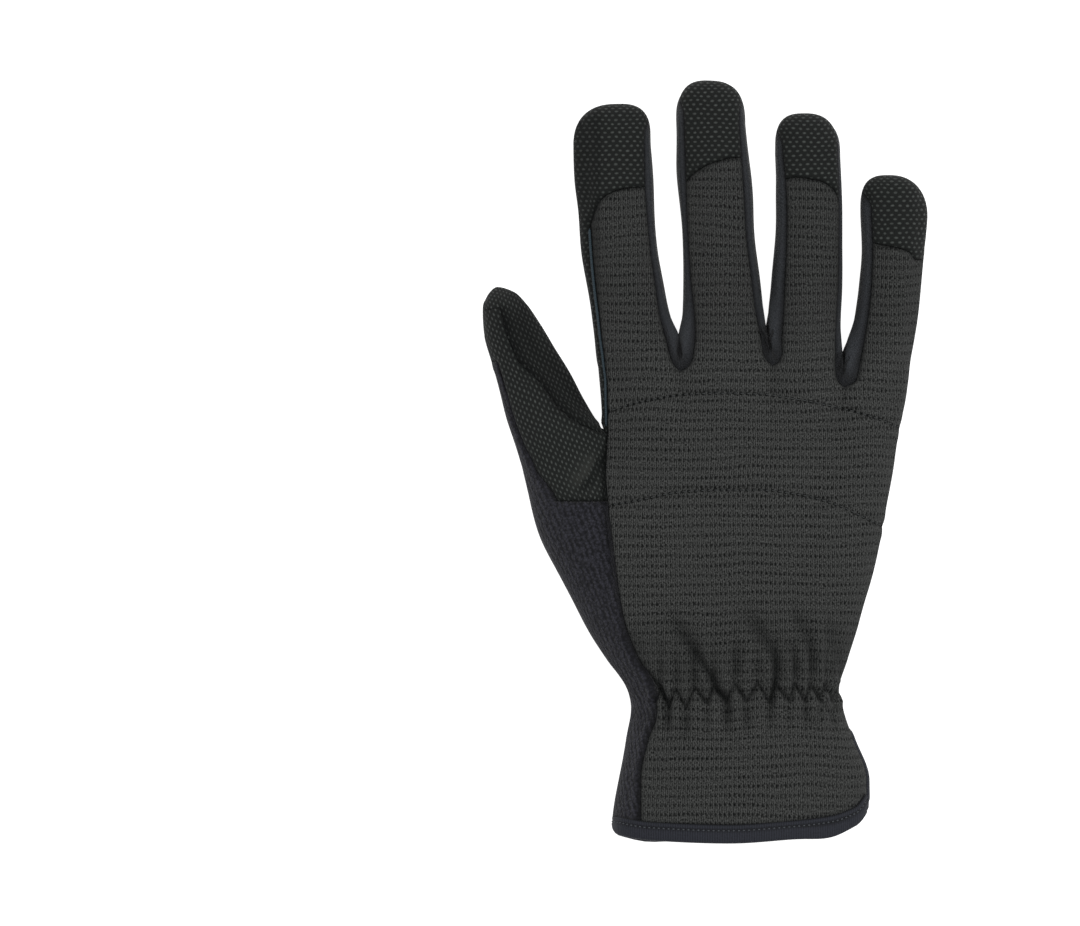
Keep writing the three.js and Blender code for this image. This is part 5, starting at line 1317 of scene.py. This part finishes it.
def palm_patch(name, outline):
    """Loops at growing insets: up the side, round the edge and over the two furrows, then one face.
    Gives back the outline, clockwise."""
    line = closed_line(outline)
    x, y = line.T
    if np.sum(x * np.roll(y, -1) - y * np.roll(x, -1)) > 0:
        line = line[::-1]
    edge = EDGE_HIGH * np.clip(1 - PATCH_LOOPS / EDGE_ROUND, 0, 1) ** 2
    furrow = sum(FURROW_DEEP * bell(PATCH_LOOPS - at, FURROW_WIDE) for at in STITCH_INSETS)
    loops = [np.column_stack([line, PATCH_BASE + PATCH_THICK + turned_up(line, 0)])]
    for inset, high in zip(PATCH_LOOPS, PATCH_BASE + edge + furrow):
        loops.append(np.column_stack([line + inset * inwards(line), high + turned_up(line, inset)]))
    rows, count = len(loops), len(line)
    points = np.concatenate(loops)
    quads = ring_quads(rows, count)[2]
    a, b, c = (points[quads[:count, i]] for i in range(3))
    outward = np.column_stack([-inwards(line), np.zeros(count)])
    if np.sum(np.cross(b - a, c - a) * outward) < 0:
        quads = quads[:, ::-1]
    bottom = np.arange((rows - 1) * count, rows * count)
    lid = np.arange(count)
    faces = [*quads, bottom, lid[::-1]]
    add_object(name, points, faces, points[np.concatenate(faces), :2])
    print(name, len(faces), "faces")
    return line


patch_lines = []
for name, outline in (("palm_patch_upper", UPPER_PATCH), ("palm_patch_lower", LOWER_PATCH)):
    patch_lines.append(palm_patch(name, outline))
    dress(name)

# %% [markdown]
# ## Stitches
#
# A lockstitch shows as a row of short bars of thread, each diving into the cloth at its ends. One bar
# is a few dozen faces, and it is repeated along each sewn line.

# %% Bars of thread along a line
WHITE_PITCH, DARK_PITCH, HEM_PITCH = 2.05, 2.1, 1.65
BAR_SIDES, BAR_RINGS = 6, 7


def stitches(name, lines, pitch, length, thick):
    """Bars whose centre line is an arc that dips at both ends: for each line a row of points with
    the direction out of the cloth at each."""
    bars = []
    for points, outward in lines:
        run = lengths(points)
        centre = np.arange(pitch / 2, run[-1], pitch)
        ends = [columns_at(centre + half, run, points) for half in (-length / 2, length / 2)]
        bars.append([*ends, unit(columns_at(centre, run, outward))])
    start, end, out = (np.concatenate(part) for part in zip(*bars))
    t = np.linspace(-1, 1, BAR_RINGS)
    half = (end - start) / 2
    lift = thick * (0.45 - 0.75 * t**4)
    spine = (start + end)[:, None] / 2 + t[:, None] * half[:, None] + lift[:, None] * out[:, None]
    aside = unit(np.cross(half, out))
    turn = np.arange(BAR_SIDES) / BAR_SIDES * TURN
    radius = thick / 2 * np.sqrt(np.clip(1.06 - t**6, 0, 1))
    ring = np.cos(turn)[:, None] * aside[:, None, None] + np.sin(turn)[:, None] * out[:, None, None]
    points = spine[:, :, None] + radius[:, None, None] * ring
    count, per = len(start), BAR_RINGS * BAR_SIDES
    quads = ring_quads(BAR_RINGS, BAR_SIDES)[2]
    caps = np.stack([np.arange(BAR_SIDES)[::-1], np.arange(per - BAR_SIDES, per)])
    shift = (np.arange(count) * per)[:, None, None]
    faces = [*(quads + shift).reshape(-1, 4)[:, ::-1], *(caps + shift).reshape(-1, BAR_SIDES)[:, ::-1]]
    obj = add_object(name, points.reshape(-1, 3), faces)
    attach(obj, "root")
    print(name, count, "stitches")


# %% Two rows of stitches on each patch, just under its lower face
patch_rows = []
for line in patch_lines:
    for inset in STITCH_INSETS:
        level = PATCH_BASE + STITCH_SINK + turned_up(line, inset)
        loop = np.column_stack([line + inset * inwards(line), level])
        loop = np.concatenate([loop, loop[:1]])
        patch_rows.append((loop, np.tile((0.0, 0.0, -1.0), (len(loop), 1))))
stitches("patch_stitching", patch_rows, WHITE_PITCH, length=1.6, thick=0.42)

# %% A row of stitches on both faces of the hem's tape
wide = from_right > 1.2
hem_face = (HEM_TAPE_THICK / 2 * TAPE_SLIM * tape_slim)[:, None]
hem_row = hem_middle + hem_down * (HEM_STITCH - TAPE_OVERLAP - tape_climb)[:, None]
hem_rows = [((hem_row + side * hem_face * hem_out)[wide], (side * hem_out)[wide]) for side in (1, -1)]
stitches("hem_stitching", hem_rows, HEM_PITCH, length=0.85, thick=0.46)

# %% Threads that hold the quilt lines of the back
back_tree = BVHTree.FromPolygons(skin_points.tolist(), skin_faces[panel_of_face == KNIT].tolist())


def laid_on_back(line):
    """The line from above laid on the back of the glove, with the way out of the cloth."""
    spots, ways = [], []
    for x, y in line:
        hit, way, _, _ = back_tree.ray_cast((x, y, 60.0), (0, 0, -1))
        if hit is not None:
            spots.append(hit)
            ways.append(way if way.z > 0 else -way)
    return np.array(spots), np.array(ways)


back_rows = [laid_on_back(line) for line in quilts]
stitches("back_stitching", back_rows, DARK_PITCH, length=1.45, thick=0.38)

# %% [markdown]
# ## Materials
#
# Each material reads the pattern layer, whose unit is a millimetre, so every size below is a real
# one. The cloths are matt: most of the light that they return comes from loose fibres and little
# from a surface, so they are rough and have hardly any gloss.

# %% A colour, a node and a material
NUMBERS = (None,) * 5  # a Mix node's sockets for numbers, between its factor and its two colours


def linear(hex_colour):
    """An sRGB hex colour as linear red, green, blue and alpha."""
    parts = [int(hex_colour[k:k + 2], 16) / 255 for k in (1, 3, 5)]
    return [*(v / 12.92 if v <= 0.04045 else ((v + 0.055) / 1.055) ** 2.4 for v in parts), 1.0]


def add(tree, kind, *inputs, out=0, **settings):
    """A node of a kind with its settings. The inputs are values or other nodes' sockets, in the
    order of the node's own sockets, and None leaves one as it is. Gives back an output socket."""
    made = tree.nodes.new("ShaderNode" + kind)
    for key, value in settings.items():
        setattr(made, key, value)
    for socket, value in zip(made.inputs, inputs):
        if isinstance(value, bpy.types.NodeSocket):
            tree.links.new(value, socket)
        elif value is not None:
            socket.default_value = value
    return made.outputs[out]


def material(name, rough, sheen, sheen_rough=0.5, specular=0.5):
    """An empty material: its tree, its shader, and the numbers that are the same all over."""
    made = bpy.data.materials.new(name)
    made.use_nodes = True
    shader = made.node_tree.nodes["Principled BSDF"]
    for key, value in {"Roughness": rough, "Sheen Weight": sheen, "Sheen Roughness": sheen_rough,
                       "IOR": 1.5, "Specular IOR Level": specular}.items():
        shader.inputs[key].default_value = value
    return made, made.node_tree, shader


# %% Patterns that several cloths share
def wandering(tree, place, scale, detail, reach):
    """The place moved by soft noise, by up to half the reach to each side."""
    soft = add(tree, "TexNoise", place, None, scale, detail, out=1)
    soft = add(tree, "VectorMath", soft, (0.5, 0.5, 0.5), operation="SUBTRACT")
    return add(tree, "VectorMath", soft, reach, place, operation="MULTIPLY_ADD")


def ripple(tree, distance, pitch):
    """Ribs across a distance: the sine of its turns, at one turn for each pitch."""
    turns = add(tree, "Math", distance, TURN / pitch, operation="MULTIPLY")
    return add(tree, "Math", turns, operation="SINE")


def spot(tree, offset, rim, core):
    """1 near the middle of a spot and 0 outside, with a soft rim, from the offset in radii."""
    distance = add(tree, "VectorMath", offset, operation="LENGTH", out=1)
    return add(tree, "MapRange", distance, rim, core, 0.0, 1.0, interpolation_type="SMOOTHSTEP")


def in_cell(tree, cells, radii):
    """How far a place is from the middle of its cell, in radii of the spot there."""
    part = add(tree, "Math", cells, operation="FRACT")
    part = add(tree, "Math", part, 0.5, operation="SUBTRACT")
    return add(tree, "Math", part, radii, operation="MULTIPLY")


def blotches(tree, place, scale, low, high, least):
    """From a least value to 1 in soft blotches, where noise goes from low to high."""
    soft = add(tree, "TexNoise", place, None, scale, 2.0)
    return add(tree, "MapRange", soft, low, high, least, 1.0)


def darkened_by_seams_and_painted_light(tree, colour, dark, most):
    """The colour, up to a share darker at dark seam lines and where shade is painted, in creases, folds,
    pleats and hollows.
    """
    seams_and_light_in = add(tree, "Attribute", attribute_name="SeamsAndPaintedLight", out=2)
    dark_at = add(tree, "MapRange", seams_and_light_in, 0.0, 1.0, 0.0, most)
    return add(tree, "Mix", dark_at, *NUMBERS, colour, linear(dark), data_type="RGBA", out=2)


def finish_cloth(tree, shader, colour, height):
    """Link the colour, and the height in millimetres as a bump."""
    bump = add(tree, "Bump", 1.0, MM, None, height)
    tree.links.new(colour, shader.inputs["Base Color"])
    tree.links.new(bump, shader.inputs["Normal"])


# %% Waffle knit: stretch knit whose rows of held stitches leave small upright slots
SLOT_PITCH, SLOT_ROW_PITCH, SLOT_WIDE, SLOT_TALL = 1.5, 3.15, 0.39, 0.66
HOLE_LONG, HOLE_WIDE, WALE_PITCH = 0.68, 0.56, 0.75
knit, tree, shader = material("knit_polyester_waffle", rough=0.92, sheen=0.02, specular=0.06)
place = wandering(tree, add(tree, "UVMap", uv_map="Pattern"), 0.03, 1.5, (2.0, 5.0, 0))
cell = add(tree, "VectorMath", place, (1 / SLOT_PITCH, 1 / SLOT_ROW_PITCH, 0), operation="MULTIPLY")
cell = add(tree, "VectorMath", cell, operation="FRACTION")
cell = add(tree, "VectorMath", cell, (0.5, 0.5, 0), operation="SUBTRACT")
slot_size = (SLOT_PITCH / SLOT_WIDE, SLOT_ROW_PITCH / SLOT_TALL, 0)
cell = add(tree, "VectorMath", cell, slot_size, operation="MULTIPLY")
slots = spot(tree, cell, 1.3, 0.45)
for fading in (blotches(tree, place, 0.07, 0.35, 0.65, 0.65), blotches(tree, place, 0.8, 0.36, 0.56, 0.5)):
    slots = add(tree, "Math", slots, fading, operation="MULTIPLY")
wale = ripple(tree, add(tree, "SeparateXYZ", place), WALE_PITCH)
strands = add(tree, "VectorMath", place, (1.5, 0.65, 1), operation="MULTIPLY")
yarn = add(tree, "TexNoise", strands, None, 2.3, 3.0)
tone = add(tree, "MapRange", yarn, 0.34, 0.66, 0.0, 1.0)
tone = add(tree, "Math", wale, 0.2, tone, operation="MULTIPLY_ADD")
colour = add(tree, "Mix", tone, *NUMBERS, linear("#040404"), linear("#3c3d3c"), data_type="RGBA", out=2)
colour = add(tree, "Mix", slots, *NUMBERS, colour, linear("#020303"), data_type="RGBA", out=2)

# The quilt lines' stitches pull small holes, the seams are dark, and folds, creases and pleats get painted
# shade
quilting = add(tree, "Attribute", attribute_name="Quilting", out=1)
run = add(tree, "Math", add(tree, "SeparateXYZ", quilting), 1 / DARK_PITCH, operation="MULTIPLY")
run = in_cell(tree, add(tree, "Math", run, 0.5, operation="ADD"), DARK_PITCH / HOLE_LONG)
beside = add(tree, "Math", add(tree, "SeparateXYZ", quilting, out=1), 1 / HOLE_WIDE, operation="MULTIPLY")
hole = spot(tree, add(tree, "CombineXYZ", run, beside), 1.2, 0.4)
seams_and_light_in = add(tree, "Attribute", attribute_name="SeamsAndPaintedLight", out=2)
dark_at = add(tree, "Math", seams_and_light_in, 0.75, operation="MULTIPLY")
dark_at = add(tree, "Math", dark_at, hole, operation="MAXIMUM")
colour = add(tree, "Mix", dark_at, *NUMBERS, colour, linear("#030404"), data_type="RGBA", out=2)
lint = add(tree, "TexVoronoi", place, None, 0.06)
lint = add(tree, "MapRange", lint, 0.017, 0.008, 0.0, 0.7)
colour = add(tree, "Mix", lint, *NUMBERS, colour, linear("#6c6f6b"), data_type="RGBA", out=2)
level = add(tree, "Math", yarn, 0.3, operation="MULTIPLY")
level = add(tree, "Math", wale, 0.05, level, operation="MULTIPLY_ADD")
level = add(tree, "Math", slots, -0.45, level, operation="MULTIPLY_ADD")
level = add(tree, "Math", hole, -0.4, level, operation="MULTIPLY_ADD")
finish_cloth(tree, shader, colour, level)

# %% Dotted cloth: a black jersey printed with soft silicone dots in staggered rows
DOT_PITCH, DOT_ROW_PITCH, DOT_WIDE, DOT_TALL = 2.4, 1.5, 0.62, 0.42
dotted, tree, shader = material("polyester_jersey_with_silicone_dots", rough=0.85, sheen=0.02, specular=0.08)
place = add(tree, "UVMap", uv_map="Pattern")
bent = wandering(tree, place, 0.16, 1.0, (1.4, 1.2, 0))
across_rows, along_rows = add(tree, "SeparateXYZ", bent), add(tree, "SeparateXYZ", bent, out=1)
row = add(tree, "Math", along_rows, 1 / DOT_ROW_PITCH, operation="MULTIPLY")
row = add(tree, "Math", row, operation="ROUND")
off_row = add(tree, "Math", row, -DOT_ROW_PITCH, along_rows, operation="MULTIPLY_ADD")
off_row = add(tree, "Math", off_row, 1 / DOT_TALL, operation="MULTIPLY")
in_row = add(tree, "Math", across_rows, 1 / DOT_PITCH, operation="MULTIPLY")
in_row = add(tree, "Math", row, 0.5, in_row, operation="MULTIPLY_ADD")
in_row = in_cell(tree, in_row, DOT_PITCH / DOT_WIDE)
dots = spot(tree, add(tree, "CombineXYZ", in_row, off_row), 1.3, 0.45)
worn = blotches(tree, place, 0.35, 0.3, 0.7, 0.55)
dots = add(tree, "Math", dots, worn, operation="MULTIPLY")

# Below zero, the layer marks the thumb's crotch fold, whose ridge loses dots and is painted lighter: a
# painted highlight
seams_and_light_in = add(tree, "Attribute", attribute_name="SeamsAndPaintedLight", out=2)
bare_and_lit_at = add(tree, "MapRange", seams_and_light_in, 0.0, -1.0, 0.0, 1.0)
left = add(tree, "Math", bare_and_lit_at, -0.6, 1.0, operation="MULTIPLY_ADD")
dots = add(tree, "Math", dots, left, operation="MULTIPLY")
yarn = add(tree, "TexNoise", place, None, 2.2, 3.0)
colour = add(tree, "Mix", yarn, *NUMBERS, linear("#070807"), linear("#1b1d1c"), data_type="RGBA", out=2)
# The lighter ground of the fold's ridge is its painted highlight
colour = add(tree, "Mix", bare_and_lit_at, *NUMBERS, colour, linear("#232422"), data_type="RGBA", out=2)
colour = add(tree, "Mix", dots, *NUMBERS, colour, linear("#393c3a"), data_type="RGBA", out=2)
colour = darkened_by_seams_and_painted_light(tree, colour, "#020303", 0.8)
level = add(tree, "Math", yarn, 0.25, operation="MULTIPLY")
level = add(tree, "Math", dots, 0.28, level, operation="MULTIPLY_ADD")
rough = add(tree, "MapRange", dots, 0.0, 1.0, 0.88, 0.6)
tree.links.new(rough, shader.inputs["Roughness"])
finish_cloth(tree, shader, colour, level)

# %% Terry: cotton loops in ribs, which swallow light between them
LOOP_SIZE, RIB_PITCH = 0.85, 2.1
terry, tree, shader = material("cotton_terry", rough=0.95, sheen=0.05, sheen_rough=0.6, specular=0.1)
place = add(tree, "UVMap", uv_map="Pattern")
bent = wandering(tree, place, 0.3, 2.0, (1.5, 1.5, 0))
nap = add(tree, "TexVoronoi", bent, None, 1 / LOOP_SIZE)
nap = add(tree, "MapRange", nap, 0.0, 0.75, 1.0, 0.0)
nap = add(tree, "Math", ripple(tree, add(tree, "SeparateXYZ", bent), RIB_PITCH), 0.22, nap,
          operation="MULTIPLY_ADD")
yarn = add(tree, "TexNoise", place, None, 3.0, 3.0)
nap = add(tree, "Math", yarn, 0.35, nap, operation="MULTIPLY_ADD")
tone = add(tree, "MapRange", nap, 0.2, 1.25, 0.0, 1.0)
colour = add(tree, "Mix", tone, *NUMBERS, linear("#09090d"), linear("#28282f"), data_type="RGBA", out=2)
colour = darkened_by_seams_and_painted_light(tree, colour, "#020203", 0.8)
finish_cloth(tree, shader, colour, add(tree, "Math", nap, 0.4, operation="MULTIPLY"))

# %% Gusset cloth: smooth nylon and elastane, matt, with a faint fine twill
TWILL_PITCH = 0.7
stretch, tree, shader = material("nylon_elastane_jersey", rough=0.6, sheen=0.02, sheen_rough=0.4,
                                 specular=0.15)
place = add(tree, "UVMap", uv_map="Pattern")
slant = add(tree, "VectorMath", place, (1, 1, 0), operation="DOT_PRODUCT", out=1)
twill = ripple(tree, slant, TWILL_PITCH)
yarn = add(tree, "TexNoise", place, None, 1.6, 2.0)
colour = add(tree, "Mix", yarn, *NUMBERS, linear("#131416"), linear("#34373b"), data_type="RGBA", out=2)
colour = darkened_by_seams_and_painted_light(tree, colour, "#020203", 0.85)
finish_cloth(tree, shader, colour, add(tree, "Math", twill, 0.03, yarn, operation="MULTIPLY_ADD"))


# %% Tape, piping and thread: nylon and polyester, whose crosswise ribs catch the light
def woven(name, dark, light, rib_pitch, rough):
    """Ribs across the length, broken up by the yarn."""
    made, tree, shader = material(name, rough, sheen=0.02, sheen_rough=0.4, specular=0.12)
    place = add(tree, "UVMap", uv_map="Pattern")
    rib = ripple(tree, add(tree, "SeparateXYZ", place), rib_pitch)
    yarn = add(tree, "TexNoise", place, None, 1.8, 3.0)
    tone = add(tree, "Math", rib, 0.2, yarn, operation="MULTIPLY_ADD")
    colour = add(tree, "Mix", tone, *NUMBERS, linear(dark), linear(light), data_type="RGBA", out=2)
    colour = darkened_by_seams_and_painted_light(tree, colour, "#020203", 1.0)
    level = add(tree, "Math", yarn, 0.1, operation="MULTIPLY")
    finish_cloth(tree, shader, colour, add(tree, "Math", rib, 0.05, level, operation="MULTIPLY_ADD"))
    return made


tape = woven("nylon_binding_tape", "#0b0c10", "#22242b", 0.8, 0.7)
looks = {
    "back_panel": knit, "terry_panel": terry, "cuff_binding": tape, "vent_binding": tape,
    "index_piping": woven("satin_piping", "#131a1d", "#28333a", 0.7, 0.5),
    "patch_stitching": woven("bright_polyester_thread", "#c9cac6", "#f1f1ec", 0.5, 0.5),
    "back_stitching": woven("black_polyester_thread", "#1a1b1b", "#353737", 0.5, 0.7),
    "hem_stitching": woven("grey_polyester_thread", "#26282b", "#3e4145", 0.5, 0.6),
}
for name, piece in pieces.items():
    look = looks.get(name, stretch if name.startswith("fourchette") else dotted)
    piece.data.materials.append(look)
    print(name, look.name)

# %% [markdown]
# ## Picture
#
# The camera looks straight down and shows no perspective, as from far above. The glove lies on a
# bright table that gives light itself, under an even sky and one soft lamp above its fingertips.

# %% Camera, table and light, in metres
PICTURE_WIDE, CAMERA_PLACE = 0.3525, (-0.0537, 0.0, 1.2)
TABLE_SIZE, TABLE_GREY, TABLE_GLOW, TABLE_GAP = 3.0, 0.35, 0.9, 0.0002
SKY = 1.05
LAMP_PLACE, LAMP_SIZE, LAMP_WATTS = (0.35, 0.3, 1.2), 1.4, 17.5
scene = bpy.context.scene
camera_data = bpy.data.cameras.new("camera")
camera_data.type = "ORTHO"
camera_data.ortho_scale = PICTURE_WIDE
camera = bpy.data.objects.new("camera", camera_data)
camera.location = CAMERA_PLACE
scene.collection.objects.link(camera)
scene.camera = camera
bpy.ops.mesh.primitive_plane_add(size=TABLE_SIZE, location=(0, 0, -TABLE_GAP))
floor = bpy.context.active_object
floor_look, _, floor_shader = material("light_table", rough=0.8, sheen=0.0)
floor_shader.inputs["Base Color"].default_value = (TABLE_GREY, TABLE_GREY, TABLE_GREY, 1)
floor_shader.inputs["Emission Color"].default_value = (1, 1, 1, 1)
floor_shader.inputs["Emission Strength"].default_value = TABLE_GLOW
floor.data.materials.append(floor_look)
world = bpy.data.worlds.new("world")
world.use_nodes = True
sky = world.node_tree.nodes["Background"]
sky.inputs[0].default_value = (1, 1, 1, 1)
sky.inputs[1].default_value = SKY
scene.world = world
light_data = bpy.data.lights.new("key", "AREA")
light_data.size = LAMP_SIZE
light_data.energy = LAMP_WATTS
light = bpy.data.objects.new("key", light_data)
light.location = LAMP_PLACE
light.rotation_euler = (-light.location).to_track_quat("-Z", "Y").to_euler()
scene.collection.objects.link(light)
scene.view_settings.view_transform = "Standard"
print("camera at", CAMERA_PLACE, "lamp at", LAMP_PLACE)
